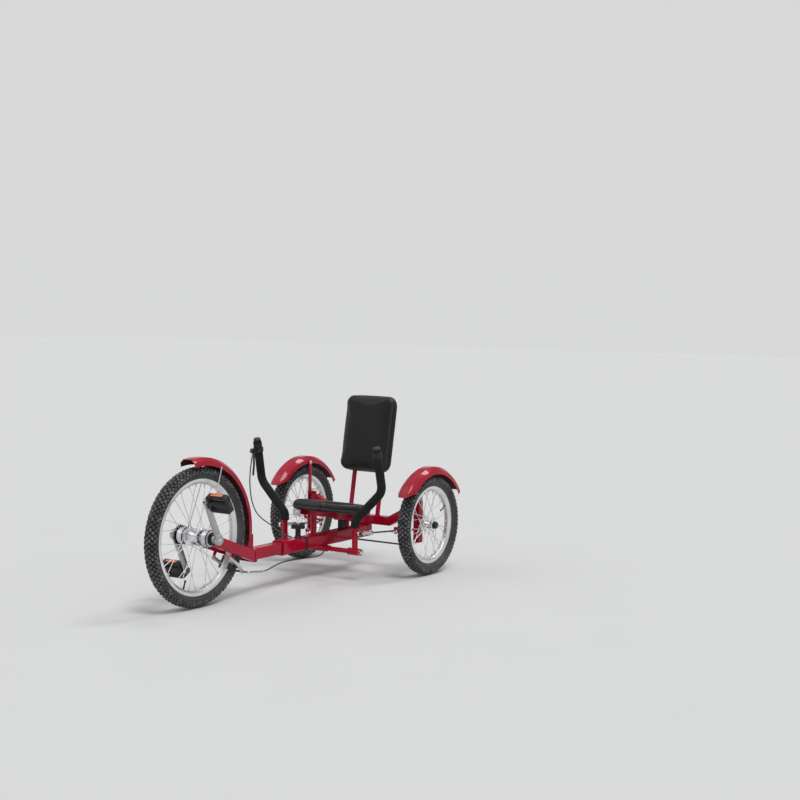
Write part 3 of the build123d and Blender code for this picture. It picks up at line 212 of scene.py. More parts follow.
chrome = Finish("polished_steel", "bright_metal", (0.8, 0.81, 0.83), 0.12, 1.0)
chrome.tint((22.0, 4), (0.35, (0.68, 0.69, 0.71)), (0.65, (0.88, 0.88, 0.9)))
chrome.polish((70.0, 5), 0.08, 0.22)

alloy = Finish("turned_alloy", "satin_metal", (0.7, 0.71, 0.73), 0.34, 1.0)
alloy.tint((30.0, 4), (0.3, (0.56, 0.57, 0.59)), (0.7, (0.8, 0.8, 0.82)))
alloy.polish(alloy.mottle(800.0, 2, (1, 0.02, 0.02)), 0.26, 0.46)

black_steel = Finish(
    "black_steel", "black_metal", (0.014, 0.014, 0.015), 0.35, Coat_Weight=0.3, Coat_Roughness=0.2,
)
black_steel.tint((40.0, 4), (0.3, (0.009, 0.009, 0.01)), (0.7, (0.02, 0.02, 0.022)))
black_steel.polish((50.0, 4), 0.28, 0.48)
black_steel.relief((500.0, 2), 0.08, 0.0003)

moulded = Finish("moulded_black", "black_plastic", (0.013, 0.013, 0.014), 0.5, Specular_IOR_Level=0.35)
moulded.tint((25.0, 3), (0.3, (0.009, 0.009, 0.01)), (0.7, (0.019, 0.019, 0.02)))
moulded.polish((80.0, 3), 0.38, 0.55)
moulded.relief((1100.0, 2), 0.2, 0.0003)

vinyl = Finish("seat_vinyl_grain", "seat_vinyl", (0.007, 0.007, 0.0075), 0.42, Specular_IOR_Level=0.3)
vinyl.tint((12.0, 4), (0.3, (0.005, 0.005, 0.0055)), (0.7, (0.01, 0.01, 0.011)))
vinyl.polish((35.0, 4), 0.34, 0.48)
vinyl.relief(vinyl.cells(650.0, "DISTANCE_TO_EDGE"), 0.3, 0.0004)
vinyl.relief((30.0, 2), 0.1, 0.002)

piping = Finish("seat_piping", "seat_vinyl", (0.03, 0.03, 0.032), 0.38)
piping.relief((700.0, 2), 0.2, 0.0003)

thread = Finish("seat_thread", "seat_vinyl", (0.16, 0.16, 0.17), 0.7)
thread.relief((1500.0, 2), 0.3, 0.0003)

foam = Finish("grip_foam", "grip_foam", (0.012, 0.012, 0.012), 0.92, Specular_IOR_Level=0.3)
foam.tint((30.0, 5), (0.3, (0.007, 0.007, 0.0075)), (0.7, (0.018, 0.0175, 0.018)))
foam.relief(foam.cells(900.0), 0.5, 0.0006)
foam.relief((160.0, 3), 0.2, 0.001)

grip_rubber = Finish("grip_rubber", "black_plastic", (0.032, 0.032, 0.034), 0.6)
grip_rubber.tint((35.0, 4), (0.3, (0.024, 0.024, 0.026)), (0.7, (0.042, 0.042, 0.044)))
grip_rubber.relief((500.0, 3), 0.15, 0.0004)

cable_cover = Finish("cable_cover", "cable_cover", (0.016, 0.016, 0.018), 0.32)
cable_cover.polish((60.0, 3), 0.25, 0.42)

amber = Finish(
    "amber_reflector", "black_plastic", (0.9, 0.2, 0.008), 0.14, Coat_Weight=1.0, Coat_Roughness=0.04,
)
amber.tint(amber.cells(420.0), (0.0, (1.0, 0.36, 0.03)), (0.6, (0.75, 0.11, 0.004)))
amber.relief(amber.cells(420.0), 0.6, 0.0008)

# Painted shade: a near-black disc at the bottom of each crank bolt's recess, standing in for the shade in the
# hole.
bolt_well_painted_shade = Finish("bolt_well_painted_shade", "black_metal", (0.01, 0.01, 0.011), 0.7)
bolt_well_painted_shade.polish((90.0, 3), 0.6, 0.85)

paving = Finish("pale_floor", None, (0.62, 0.62, 0.615), 0.85)
paving.tint((1.6, 2), (0.3, (0.625, 0.625, 0.62)), (0.7, (0.635, 0.635, 0.63)))

floor_mesh = bpy.data.meshes.new("floor")
floor_mesh.from_pydata([(-30, -30, 0), (30, -30, 0), (30, 30, 0), (-30, 30, 0)], [], [(0, 1, 2, 3)])
floor_mesh.materials.append(paving.material)
floor = bpy.data.objects.new("floor", floor_mesh)
scene.collection.objects.link(floor)

world = bpy.data.worlds.new("studio")
scene.world = world
world.use_nodes = True
sky = world.node_tree
sky_light = sky.nodes["Background"]
sky_light.inputs["Strength"].default_value = 0.8
sky_light.inputs["Color"].default_value = (0.62, 0.63, 0.645, 1)

# What the camera, the gloss and clear parts see: a pale wall, a darker band above it, and a bright ceiling.
backdrop = sky.nodes.new("ShaderNodeBackground")
backdrop.inputs["Strength"].default_value = 1.0
heading = sky.nodes.new("ShaderNodeTexCoord")
heading_parts = sky.nodes.new("ShaderNodeSeparateXYZ")
dome = sky.nodes.new("ShaderNodeValToRGB")
wall, band, ceiling = (0.69, 0.69, 0.69), (0.3, 0.3, 0.3), (1.0, 1.0, 1.0)
set_stops(dome, ((0.0, (0.69, 0.695, 0.695)), (0.28, wall), (0.4, band), (0.6, band), (0.85, ceiling)))
sky.links.new(heading.outputs["Generated"], heading_parts.inputs[0])
sky.links.new(heading_parts.outputs["Z"], dome.inputs["Fac"])
sky.links.new(dome.outputs["Color"], backdrop.inputs["Color"])
rays = sky.nodes.new("ShaderNodeLightPath")
seen = rays.outputs["Is Camera Ray"]
for kind in ("Is Glossy Ray", "Is Transmission Ray"):
    either = sky.nodes.new("ShaderNodeMath")
    either.operation = "MAXIMUM"
    sky.links.new(seen, either.inputs[0])
    sky.links.new(rays.outputs[kind], either.inputs[1])
    seen = either.outputs[0]
chooser = sky.nodes.new("ShaderNodeMixShader")
sky.links.new(seen, chooser.inputs["Fac"])
sky.links.new(sky_light.outputs[0], chooser.inputs[1])
sky.links.new(backdrop.outputs[0], chooser.inputs[2])
sky.links.new(chooser.outputs[0], sky.nodes["World Output"].inputs["Surface"])

for lamp_name, place, width, strength in (
    ("key", (1.5, -0.9, 3.6), 22.0, 1.35),
    ("fill", (-2.4, -1.6, 2.6), 40.0, 0.35),
    ("rim", (0.55, 1.35, 2.1), 14.0, 0.55),
):
    lamp_data = bpy.data.lights.new(lamp_name, "SUN")
    lamp_data.angle = math.radians(width)
    lamp_data.energy = strength
    lamp = bpy.data.objects.new(lamp_name, lamp_data)
    lamp.location = place
    lamp.rotation_euler = (-Vector(place)).to_track_quat("-Z", "Y").to_euler()
    scene.collection.objects.link(lamp)
scene.view_settings.view_transform = "Standard"


# Making pieces

def piece(name, mesh, finish, body, stands_for=(), sharp=0.5, other=None, belongs=None):
    """Piece that rides on a body, from one mesh or several; faces that belong get the other finish."""
    if isinstance(mesh, list):
        mesh = joined(name, mesh)
    mesh.materials.clear()
    mesh.materials.append(finish.material)
    for polygon in mesh.polygons:
        polygon.material_index = 0
    if other:
        mesh.materials.append(other.material)
        for polygon in mesh.polygons:
            polygon.material_index = int(belongs(polygon))
    if sharp is not None:
        for polygon in mesh.polygons:
            polygon.use_smooth = True
        mesh.set_sharp_from_angle(angle=sharp)
    made = bpy.data.objects.new(name, mesh)
    scene.collection.objects.link(made)
    if body:
        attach(made, body)
    if stands_for:
        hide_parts(*stands_for)
    return made


def evaluated(made):
    """Plain mesh of an object with its modifiers done."""
    bpy.context.view_layer.update()
    depsgraph = bpy.context.evaluated_depsgraph_get()
    return bpy.data.meshes.new_from_object(made.evaluated_get(depsgraph), depsgraph=depsgraph)


def from_bmesh(bm, name):
    mesh = bpy.data.meshes.new(name)
    bmesh.ops.recalc_face_normals(bm, faces=bm.faces)
    bm.to_mesh(mesh)
    bm.free()
    return mesh


def rounded(node, name, finish, body, width=0.0008, steps=2):
    """A CAD node's shape with its sharp edges rounded off, as on the real part."""
    bm = bmesh.new()
    bm.from_mesh(nodes[node].data)
    bmesh.ops.remove_doubles(bm, verts=bm.verts, dist=2e-6)
    bmesh.ops.dissolve_limit(bm, angle_limit=math.radians(0.5), verts=bm.verts, edges=bm.edges)
    draft = bpy.data.objects.new(name + "_draft", from_bmesh(bm, name))
    scene.collection.objects.link(draft)
    edge = draft.modifiers.new("edge", "BEVEL")
    edge.limit_method = "ANGLE"
    edge.angle_limit = 0.6
    edge.width = width
    edge.segments = steps
    for polygon in draft.data.polygons:
        polygon.use_smooth = True
    draft.data.set_sharp_from_angle(angle=1.2)
    shade = draft.modifiers.new("shade", "WEIGHTED_NORMAL")
    shade.keep_sharp = True
    mesh = evaluated(draft)
    bpy.data.objects.remove(draft)
    return piece(name, mesh, finish, body, (node,), None)


def turned(profile, centre, steps, closed=True):
    """Mesh of a section (across, out) turned about the axle direction through centre."""
    bm = bmesh.new()
    rows = []
    for number in range(steps):
        angle = 2 * math.pi * number / steps
        rows.append([
            bm.verts.new(centre + Vector((x, r * math.sin(angle), r * math.cos(angle)))) for x, r in profile
        ])
    count = len(profile)
    for number in range(steps):
        here, after = rows[number], rows[(number + 1) % steps]
        for k in range(count if closed else count - 1):
            bm.faces.new((here[k], here[(k + 1) % count], after[(k + 1) % count], after[k]))
    return bm


def rod(points, radius, sides_count=12, smooth=True, cyclic=False, fine=6):
    """Mesh tube along points, on a smooth curve or on straight runs."""
    line = bpy.data.curves.new("line", "CURVE")
    line.dimensions = "3D"
    line.bevel_depth = radius
    line.bevel_resolution = max(1, sides_count // 4 - 1)
    line.use_fill_caps = True
    spline = line.splines.new("NURBS" if smooth else "POLY")
    spline.points.add(len(points) - 1)
    for target, source in zip(spline.points, points):
        target.co = (*source, 1)
    spline.use_cyclic_u = cyclic
    if smooth:
        spline.use_endpoint_u = not cyclic
        spline.order_u = 3
        spline.resolution_u = fine
    draft = bpy.data.objects.new("line", line)
    scene.collection.objects.link(draft)
    mesh = evaluated(draft)
    bpy.data.objects.remove(draft)
    return mesh


def joined(name, meshes):
    """One mesh from several."""
    bm = bmesh.new()
    for mesh in meshes:
        bm.from_mesh(mesh)
        bpy.data.meshes.remove(mesh)
    mesh = bpy.data.meshes.new(name)
    bm.to_mesh(mesh)
    bm.free()
    return mesh


# Geometry Nodes: what repeats round a hub, along a seam or at marked places

def tree_with(name, sockets):
    tree = bpy.data.node_groups.new(name, "GeometryNodeTree")
    for label, kind in sockets:
        tree.interface.new_socket(label, in_out="INPUT", socket_type=kind)
    tree.interface.new_socket("Geometry", in_out="OUTPUT", socket_type="NodeSocketGeometry")
    return tree, tree.nodes.new("NodeGroupInput").outputs, tree.nodes.new("NodeGroupOutput").inputs[0]


def finish_instances(tree, given, instances, result):
    real = tree.nodes.new("GeometryNodeRealizeInstances")
    coat = tree.nodes.new("GeometryNodeSetMaterial")
    tree.links.new(instances, real.inputs["Geometry"])
    tree.links.new(real.outputs["Geometry"], coat.inputs["Geometry"])
    tree.links.new(given["Finish"], coat.inputs["Material"])
    tree.links.new(coat.outputs["Geometry"], result)


def math_node(tree, operation, first, second=None):
    node = tree.nodes.new("ShaderNodeMath")
    node.operation = operation
    for socket, value in zip(node.inputs, (first, second)):
        if isinstance(value, float):
            socket.default_value = value
        elif value is not None:
            tree.links.new(value, socket)
    return node.outputs[0]


def instanced(tree, given, points, rotation):
    source = tree.nodes.new("GeometryNodeObjectInfo")
    tree.links.new(given["Piece"], source.inputs["Object"])
    copies = tree.nodes.new("GeometryNodeInstanceOnPoints")
    tree.links.new(points, copies.inputs["Points"])
    tree.links.new(source.outputs["Geometry"], copies.inputs["Instance"])
    tree.links.new(rotation, copies.inputs["Rotation"])
    return copies


hub_ring, given, result = tree_with("ring_round_hub", (
    ("Geometry", "NodeSocketGeometry"), ("Piece", "NodeSocketObject"), ("Finish", "NodeSocketMaterial"),
    ("Count", "NodeSocketInt"), ("First turn", "NodeSocketFloat"), ("Step turn", "NodeSocketFloat"),
    ("Uneven", "NodeSocketFloat"), ("Hub", "NodeSocketVector"), ("Seed", "NodeSocketInt"),
))
hub_points = hub_ring.nodes.new("GeometryNodePoints")
hub_ring.links.new(given["Count"], hub_points.inputs["Count"])
hub_ring.links.new(given["Hub"], hub_points.inputs["Position"])
uneven = hub_ring.nodes.new("FunctionNodeRandomValue")
uneven.data_type = "FLOAT"
hub_ring.links.new(math_node(hub_ring, "MULTIPLY", given["Uneven"], -1.0), uneven.inputs[2])
hub_ring.links.new(given["Uneven"], uneven.inputs[3])
hub_ring.links.new(given["Seed"], uneven.inputs["Seed"])
index = hub_ring.nodes.new("GeometryNodeInputIndex").outputs[0]
turn = math_node(hub_ring, "MULTIPLY", index, given["Step turn"])
turn = math_node(hub_ring, "ADD", turn, given["First turn"])
turn = math_node(hub_ring, "ADD", turn, uneven.outputs[1])
spin = hub_ring.nodes.new("ShaderNodeCombineXYZ")
hub_ring.links.new(math_node(hub_ring, "MULTIPLY", turn, -1.0), spin.inputs["X"])
facing = hub_ring.nodes.new("FunctionNodeEulerToRotation")
hub_ring.links.new(spin.outputs[0], facing.inputs[0])
finish_instances(
    hub_ring, given, instanced(hub_ring, given, hub_points.outputs[0], facing.outputs[0]).outputs[0], result
)

seam_row, given, result = tree_with("row_along_seam", (
    ("Geometry", "NodeSocketGeometry"), ("Piece", "NodeSocketObject"), ("Finish", "NodeSocketMaterial"),
    ("Spacing", "NodeSocketFloat"), ("Size", "NodeSocketFloat"), ("Uneven", "NodeSocketFloat"),
    ("Seed", "NodeSocketInt"),
))
seam_points = seam_row.nodes.new("GeometryNodeCurveToPoints")
seam_points.mode = "LENGTH"
seam_row.links.new(given["Geometry"], seam_points.inputs["Curve"])
seam_row.links.new(given["Spacing"], seam_points.inputs["Length"])
sizes = seam_row.nodes.new("FunctionNodeRandomValue")
sizes.data_type = "FLOAT"
seam_row.links.new(math_node(seam_row, "SUBTRACT", given["Size"], given["Uneven"]), sizes.inputs[2])
seam_row.links.new(math_node(seam_row, "ADD", given["Size"], given["Uneven"]), sizes.inputs[3])
seam_row.links.new(given["Seed"], sizes.inputs["Seed"])
seam_copies = instanced(seam_row, given, seam_points.outputs["Points"], seam_points.outputs["Rotation"])
seam_row.links.new(sizes.outputs[1], seam_copies.inputs["Scale"])
finish_instances(seam_row, given, seam_copies.outputs[0], result)

marked_places, given, result = tree_with("one_at_each_mark", (
    ("Geometry", "NodeSocketGeometry"), ("Piece", "NodeSocketObject"), ("Finish", "NodeSocketMaterial"),
    ("Size", "NodeSocketFloat"),
))
outward = marked_places.nodes.new("GeometryNodeInputNamedAttribute")
outward.data_type = "FLOAT_VECTOR"
outward.inputs["Name"].default_value = "outward"
aligned = marked_places.nodes.new("FunctionNodeAlignRotationToVector")
aligned.axis = "Z"
marked_places.links.new(outward.outputs["Attribute"], aligned.inputs["Vector"])
marked_copies = instanced(marked_places, given, given["Geometry"], aligned.outputs[0])
marked_places.links.new(given["Size"], marked_copies.inputs["Scale"])
finish_instances(marked_places, given, marked_copies.outputs[0], result)


def grown(tree, carrier, pattern, finish, **inputs):
    """Mesh that a tree makes on a carrier from a pattern mesh."""
    stock = bpy.data.objects.new("pattern", pattern)
    draft = bpy.data.objects.new("carrier", carrier)
    for made in (stock, draft):
        scene.collection.objects.link(made)
    maker = draft.modifiers.new("repeat", "NODES")
    maker.node_group = tree
    values = {key.replace("_", " "): value for key, value in inputs.items()}
    values.update({"Piece": stock, "Finish": finish.material})
    for socket in tree.interface.items_tree:
        if socket.in_out == "INPUT" and socket.name in values:
            maker[socket.identifier] = values[socket.name]
    mesh = evaluated(draft)
    for made in (stock, draft):
        bpy.data.objects.remove(made)
    return mesh


def round_hub(pattern, finish, hub, count, first=0.0, uneven=0.0, seed=1, step=None):
    carrier = bpy.data.meshes.new("carrier")
    return grown(
        hub_ring, carrier, pattern, finish, Count=count, First_turn=math.radians(first),
        Step_turn=step if step else 2 * math.pi / count, Uneven=uneven, Hub=hub, Seed=seed,
    )


def along_seam(points, pattern, finish, spacing, size=1.0, uneven=0.0, seed=1, cyclic=True):
    line = bpy.data.curves.new("seam", "CURVE")
    line.dimensions = "3D"
    spline = line.splines.new("POLY")
    spline.points.add(len(points) - 1)
    for target, source in zip(spline.points, points):
        target.co = (*source, 1)
    spline.use_cyclic_u = cyclic
    return grown(seam_row, line, pattern, finish, Spacing=spacing, Size=size, Uneven=uneven, Seed=seed)


def at_marks(marks, pattern, finish, size=1.0):
    carrier = bpy.data.meshes.new("marks")
    carrier.from_pydata([place for place, _ in marks], [], [])
    directions = carrier.attributes.new("outward", "FLOAT_VECTOR", "POINT")
    for entry, (_, direction) in zip(directions.data, marks):
        entry.vector = direction
    return grown(marked_places, carrier, pattern, finish, Size=size)


def cone(bm, low_radius, high_radius, low, high, segments, place=Matrix()):
    """Closed cone or cylinder from low to high along the place's own Z."""
    bmesh.ops.create_cone(
        bm, cap_ends=True, segments=segments, radius1=low_radius, radius2=high_radius, depth=high - low,
        matrix=place @ Matrix.Translation((0, 0, (low + high) / 2)),
    )


def hex_head(flats, height, under):
    """Bolt head of a width across flats, on a washer this thick, standing on its seat along +Z."""
    corner = flats * 0.577
    bm = bmesh.new()
    cone(bm, flats * 0.95, flats * 0.92, 0, under, 20)
    cone(bm, corner, corner, under, under + height * 0.8, 6)
    cone(bm, flats * 0.57, flats * 0.44, under + height * 0.76, under + height, 6)
    return from_bmesh(bm, "hex_head")


def bead(length, width):
    """One ripple of a weld."""
    bm = bmesh.new()
    bmesh.ops.create_icosphere(bm, subdivisions=1, radius=0.5)
    bmesh.ops.scale(bm, vec=(width, width, length), verts=bm.verts)
    return from_bmesh(bm, "weld_ripple")


# Tyres: carcass and knobs

def tyre_section(rim_edge, tread, half_width, knob):
    """Outline of the carcass (across, out), from one bead over the crown to the other."""
    middle = (rim_edge + tread - knob) / 2
    reach = (tread - knob - rim_edge) / 2
    outline = [(-0.0122, rim_edge - 0.005), (-0.0145, rim_edge - 0.0005)]
    for number in range(25):
        lean = math.radians(-122 + 244 * number / 24)
        outline.append((half_width * math.sin(lean), middle + reach * math.cos(lean)))
    outline += [(0.0145, rim_edge - 0.0005), (0.0122, rim_edge - 0.005)]
    return outline, middle, reach


def knob_block(bm, place, lean, size, turn_in=0.0, taper=0.78):
    """Rubber block that stands on the carcass: size is across, along and tall."""
    wide, long, tall = size
    base = [(-wide / 2, -long / 2), (wide / 2, -long / 2), (wide / 2, long / 2), (-wide / 2, long / 2)]
    facing = Matrix.Rotation(lean, 3, "Y") @ Matrix.Rotation(turn_in, 3, "Z")
    rings = []
    for level, share in ((-0.0015, 1.04), (tall * 0.86, (1 + taper) / 2), (tall, taper - 0.04)):
        corners = [Vector((x * share, y * share, level)) for x, y in base]
        rings.append([bm.verts.new(place + facing @ corner) for corner in corners])
    for low, high in zip(rings, rings[1:]):
        for k in range(4):
            bm.faces.new((low[k], low[(k + 1) % 4], high[(k + 1) % 4], high[k]))
    bm.faces.new(rings[-1])


# Rows of tread blocks from the crown out: where a row sits and how it leans (radians from the crown), how far
# along the pitch, the width and length of its big and of its small block, and how far a block is turned.
tread_rows = (
    (0.20, 0.17, 0.00, (0.0086, 0.0125), (0.0086, 0.0092), 0.30),
    (0.62, 0.56, 0.26, (0.0080, 0.0122), (0.0080, 0.0098), 0.55),
    (1.03, 0.98, 0.00, (0.0084, 0.0132), (0.0072, 0.0096), -0.15),
)
rib_section = ((-0.0006, -0.0009), (0.0007, -0.0003), (0.0007, 0.0003), (-0.0006, 0.0009))


def tyre(name, hub, rim_edge, tread, body, node, pitches, seed):
    """Carcass with fine ribs on its sidewalls, and its blocks in pitches that differ a little."""
    knob, half_width = 0.0052, 0.0258
    outline, middle, reach = tyre_section(rim_edge, tread, half_width, knob)
    carcass = from_bmesh(turned(outline, hub, 120), name)
    pitch_length = 2 * math.pi * tread / pitches

    def seat(lean, along):
        angle = along / tread
        out = middle + reach * math.cos(lean)
        return Vector((half_width * math.sin(lean), out * math.sin(angle), out * math.cos(angle)))

    bm = bmesh.new()
    for sign, stagger in ((1, 0.0), (-1, 0.25)):
        for half_pitch in (0.0, 0.5):
            along = (half_pitch + stagger) * pitch_length
            for sits, leans, share, big, small, turn_in in tread_rows:
                size = (*(small if half_pitch else big), knob)
                place = seat(sign * sits, along + pitch_length * share)
                knob_block(bm, place, sign * leans, size, sign * turn_in)
            shoulder = (0.0058 if half_pitch else 0.0098, 0.0108, knob * 0.66)
            knob_block(bm, seat(sign * 1.38, along + pitch_length * 0.25), sign * 1.42, shoulder, 0.0, 0.85)
    pitch = from_bmesh(bm, "tread_pitch")
    piece(name + "_blocks", round_hub(pitch, rubber, hub, pitches, uneven=0.0035, seed=seed), rubber, body)

    ribs = []
    for sign in (1, -1):
        for lean in (1.72, 1.92, 2.02):
            across, out = half_width * math.sin(lean), middle + reach * math.cos(lean)
            section = [(sign * (across + proud), out + rise) for proud, rise in rib_section]
            ribs.append(from_bmesh(turned(section, hub, 96), "rib"))
    bed_edge = middle + reach * 0.18

    # Carcass faces on the crown between the blocks take the near-black painted shade.
    def on_painted_shade_bed(polygon):
        from_hub = polygon.center - hub
        return math.hypot(from_hub.y, from_hub.z) > bed_edge

    piece(name, [carcass, *ribs], sidewall, body, (node,), 0.7, other=tread_bed_painted_shade, belongs=on_painted_shade_bed)


tyre("front_tyre_casing", front_hub, 0.215, 0.257, "front_wheel", "front_tyre", 42, 3)
for side, sign in sides:
    wheel, node = f"rear_wheel_{side}", f"rear_{side}_tyre"
    tyre(f"rear_{side}_tyre_casing", rear_hubs[side], 0.160, 0.2065, wheel, node, 34, 5)


# Rims, nipples, spokes and hubs

def rim(name, hub, edge, body, node, spokes, valve_turn):
    """Hollow-section rim with its nipples and valve; edge is the radius of its outer edge."""
    half = [(0.0138, edge), (0.0142, edge - 0.0006), (0.0141, edge - 0.0115), (0.0128, edge - 0.0128),
            (0.0092, edge - 0.0188), (0.0072, edge - 0.0202), (0.0, edge - 0.0207)]
    inside = [(0.0, edge - 0.0062), (0.0118, edge - 0.0062), (0.0122, edge - 0.0008), (0.0128, edge)]
    outline = half + [(-x, r) for x, r in reversed(half[:-1])]
    outline += [(-x, r) for x, r in reversed(inside[1:])] + inside
    hoop = from_bmesh(turned(outline, hub, 120), name)
    piece(name, hoop, rim_silver, body, (node,))

    bm = bmesh.new()
    for radius, low, high in ((0.0021, -0.0206, -0.0235), (0.0016, -0.0235, -0.0315)):
        cone(bm, radius * 0.85, radius, edge + high, edge + low, 8)
    nipple = from_bmesh(bm, "nipple")
    piece(name + "_nipples", round_hub(nipple, spoke_steel, hub, spokes), spoke_steel, body, sharp=0.6)

    stem = Matrix.Translation(hub) @ Matrix.Rotation(-math.radians(valve_turn), 4, "X")
    bm = bmesh.new()
    for radius, low, high in ((0.0034, 0.018, 0.030), (0.0029, 0.030, 0.047), (0.0039, 0.047, 0.054)):
        cone(bm, radius, radius * 1.05, edge - high, edge - low, 14, stem)
    piece(name + "_valve", from_bmesh(bm, "valve"), moulded, body, sharp=0.6)


rim("front_rim_alloy", front_hub, 0.215, "front_wheel", "front_rim", 28, 201)
for side, sign in sides:
    rim(f"rear_{side}_rim_alloy", rear_hubs[side], 0.160, f"rear_wheel_{side}", f"rear_{side}_rim", 28, 64)

for node in ("front_spokes", "rear_left_spokes", "rear_right_spokes"):
    nodes[node].data.materials.clear()
    nodes[node].data.materials.append(spoke_steel.material)

def mm(*values):
    return Vector(values) / 1000


def lathe(origin, direction, profile, steps=32):
    """Closed solid turned about a line: profile is (along, out) in millimetres, from one end to the other."""
    frame_of = direction.to_track_quat("Z", "Y").to_matrix()
    bm = bmesh.new()
    rows = []
    for along, out in profile:
        if out <= 0:
            rows.append([bm.verts.new(origin + frame_of @ mm(0, 0, along))])
        else:
            rows.append([
                bm.verts.new(origin + frame_of @ mm(out * math.cos(t), out * math.sin(t), along))
                for t in (2 * math.pi * k / steps for k in range(steps))
            ])
    is_ring = len(rows[0]) > 1 and len(rows[-1]) > 1
    for low, high in zip(rows, rows[1:] + rows[:1] if is_ring else rows[1:]):
        for k in range(steps):
            after = (k + 1) % steps
            if len(low) == 1 and len(high) > 1:
                bm.faces.new((low[0], high[k], high[after]))
            elif len(high) == 1 and len(low) > 1:
                bm.faces.new((low[k], low[after], high[0]))
            elif len(low) > 1:
                bm.faces.new((low[k], low[after], high[after], high[k]))
    return from_bmesh(bm, "turned_part")


def hex_bar(origin, direction, start, end, across_flats, chamfer=0.8):
    """Hexagonal nut or bar with its corners taken off at both ends, in millimetres."""
    corner = across_flats * 0.577
    return lathe(origin, direction, (
        (start, 0), (start, corner - chamfer * 1.4), (start + chamfer, corner), (end - chamfer, corner),
        (end, corner - chamfer * 1.4), (end, 0),
    ), 6)


def washer(origin, direction, start, thickness, radius):
    return lathe(origin, direction, (
        (start, 0), (start, radius - 0.3), (start + 0.3, radius), (start + thickness - 0.3, radius),
        (start + thickness, radius - 0.3), (start + thickness, 0),
    ), 28)


def plate(corners, normal, thickness, bevel=0.0008, steps=2):
    """Flat sheet piece from its outline, with eased edges."""
    bm = bmesh.new()
    face = bm.faces.new([bm.verts.new(corner) for corner in corners])
    grown_faces = bmesh.ops.extrude_face_region(bm, geom=[face])
    bmesh.ops.translate(
        bm, vec=normal * thickness,
        verts=[v for v in grown_faces["geom"] if isinstance(v, bmesh.types.BMVert)],
    )
    bmesh.ops.recalc_face_normals(bm, faces=bm.faces)
    sharp_edges = [e for e in bm.edges if e.calc_face_angle(0) > 0.6]
    bmesh.ops.bevel(bm, geom=sharp_edges, offset=bevel, segments=steps, profile=0.5, affect="EDGES")
    return from_bmesh(bm, "plate")


def ring_points(centre, normal, radius, count=40):
    frame_of = normal.to_track_quat("Z", "Y").to_matrix()
    return [
        centre + frame_of @ Vector((radius * math.cos(t), radius * math.sin(t), 0))
        for t in (2 * math.pi * k / count for k in range(count))
    ]


def box_points(centre, side_a, side_b, half_a, half_b, corner=0.004):
    """Closed outline of a box section with rounded corners."""
    outline = []
    for sign_a, sign_b, first in ((1, 1, 0), (-1, 1, 90), (-1, -1, 180), (1, -1, 270)):
        for turned_by in (0, 30, 60, 90):
            t = math.radians(first + turned_by)
            outline.append(
                centre + side_a * (sign_a * (half_a - corner) + corner * math.cos(t))
                + side_b * (sign_b * (half_b - corner) + corner * math.sin(t))
            )
    return outline


# Hubs, bearings and cranks

def spoke_heads(name, hub, body, circle, profile):
    """Heads of the spokes on the outer face of both flanges, 14 to a side."""
    heads = []
    for direction, first_turn in ((X, 3), (-X, 15)):
        head = lathe(Z * circle, direction, profile, 10)
        heads.append(round_hub(head, spoke_steel, hub, 14, first_turn))
    piece(name + "_spoke_heads", heads, spoke_steel, body, sharp=0.6)


# Profiles are (along the axle, out from it) in millimetres.
front_flange = (
    (38.7, 12), (38.7, 18.6), (37.6, 19.6), (31.6, 19.6), (30.6, 21), (30.2, 33.2), (29.4, 34), (27, 34),
    (26.2, 33.2), (25.4, 25.6), (22, 23.6), (16, 22.2), (8, 21.6),
)
front_outline = [(-38.7, 0), *[(-a, r) for a, r in front_flange], *reversed(front_flange), (38.7, 0)]
piece("front_hub_shell", lathe(front_hub, X, front_outline, 64), chrome, "front_wheel", ("front_hub",))
spoke_heads(
    "front", front_hub, "front_wheel", 0.029, ((29.6, 0), (29.6, 2.5), (30.9, 2.5), (31.9, 1.6), (32.2, 0)),
)

rear_outline = (
    (-35, 0), (-35, 12), (-34, 13.4), (-25, 14), (-24, 16), (-23.6, 28.2), (-22.8, 29), (-21, 29),
    (-20.2, 28.2), (-19.4, 19), (-16, 17.4), (0, 16.6), (16, 17.4), (19.4, 19), (20.2, 28.2), (21, 29),
    (22.8, 29), (23.6, 28.2), (24.2, 17.5), (25.4, 16.4), (27, 16.2), (27, 0),
)
dust_cap_outline = (
    (26.6, 0), (26.6, 15.2), (29.5, 15.2), (29.8, 14.6), (30.4, 14.6), (30.7, 15.1), (37.6, 14.6),
    (39.6, 13.2), (40.8, 10.6), (41, 6.4), (40.2, 5.8), (40.1, 0),
)
for side, sign in sides:
    hub, wheel, out = rear_hubs[side], f"rear_wheel_{side}", X * sign
    piece(f"rear_{side}_hub_shell", lathe(hub, out, rear_outline, 56), chrome, wheel, (f"rear_{side}_hub",))
    dust_cap = lathe(hub, out, dust_cap_outline, 48)
    piece(f"rear_{side}_dust_cap", dust_cap, moulded, wheel, (f"rear_{side}_hub_cap",))
    spoke_heads(f"rear_{side}", hub, wheel, 0.0245, ((23.2, 0), (23.2, 2.3), (24.6, 2.2), (25.3, 0)))

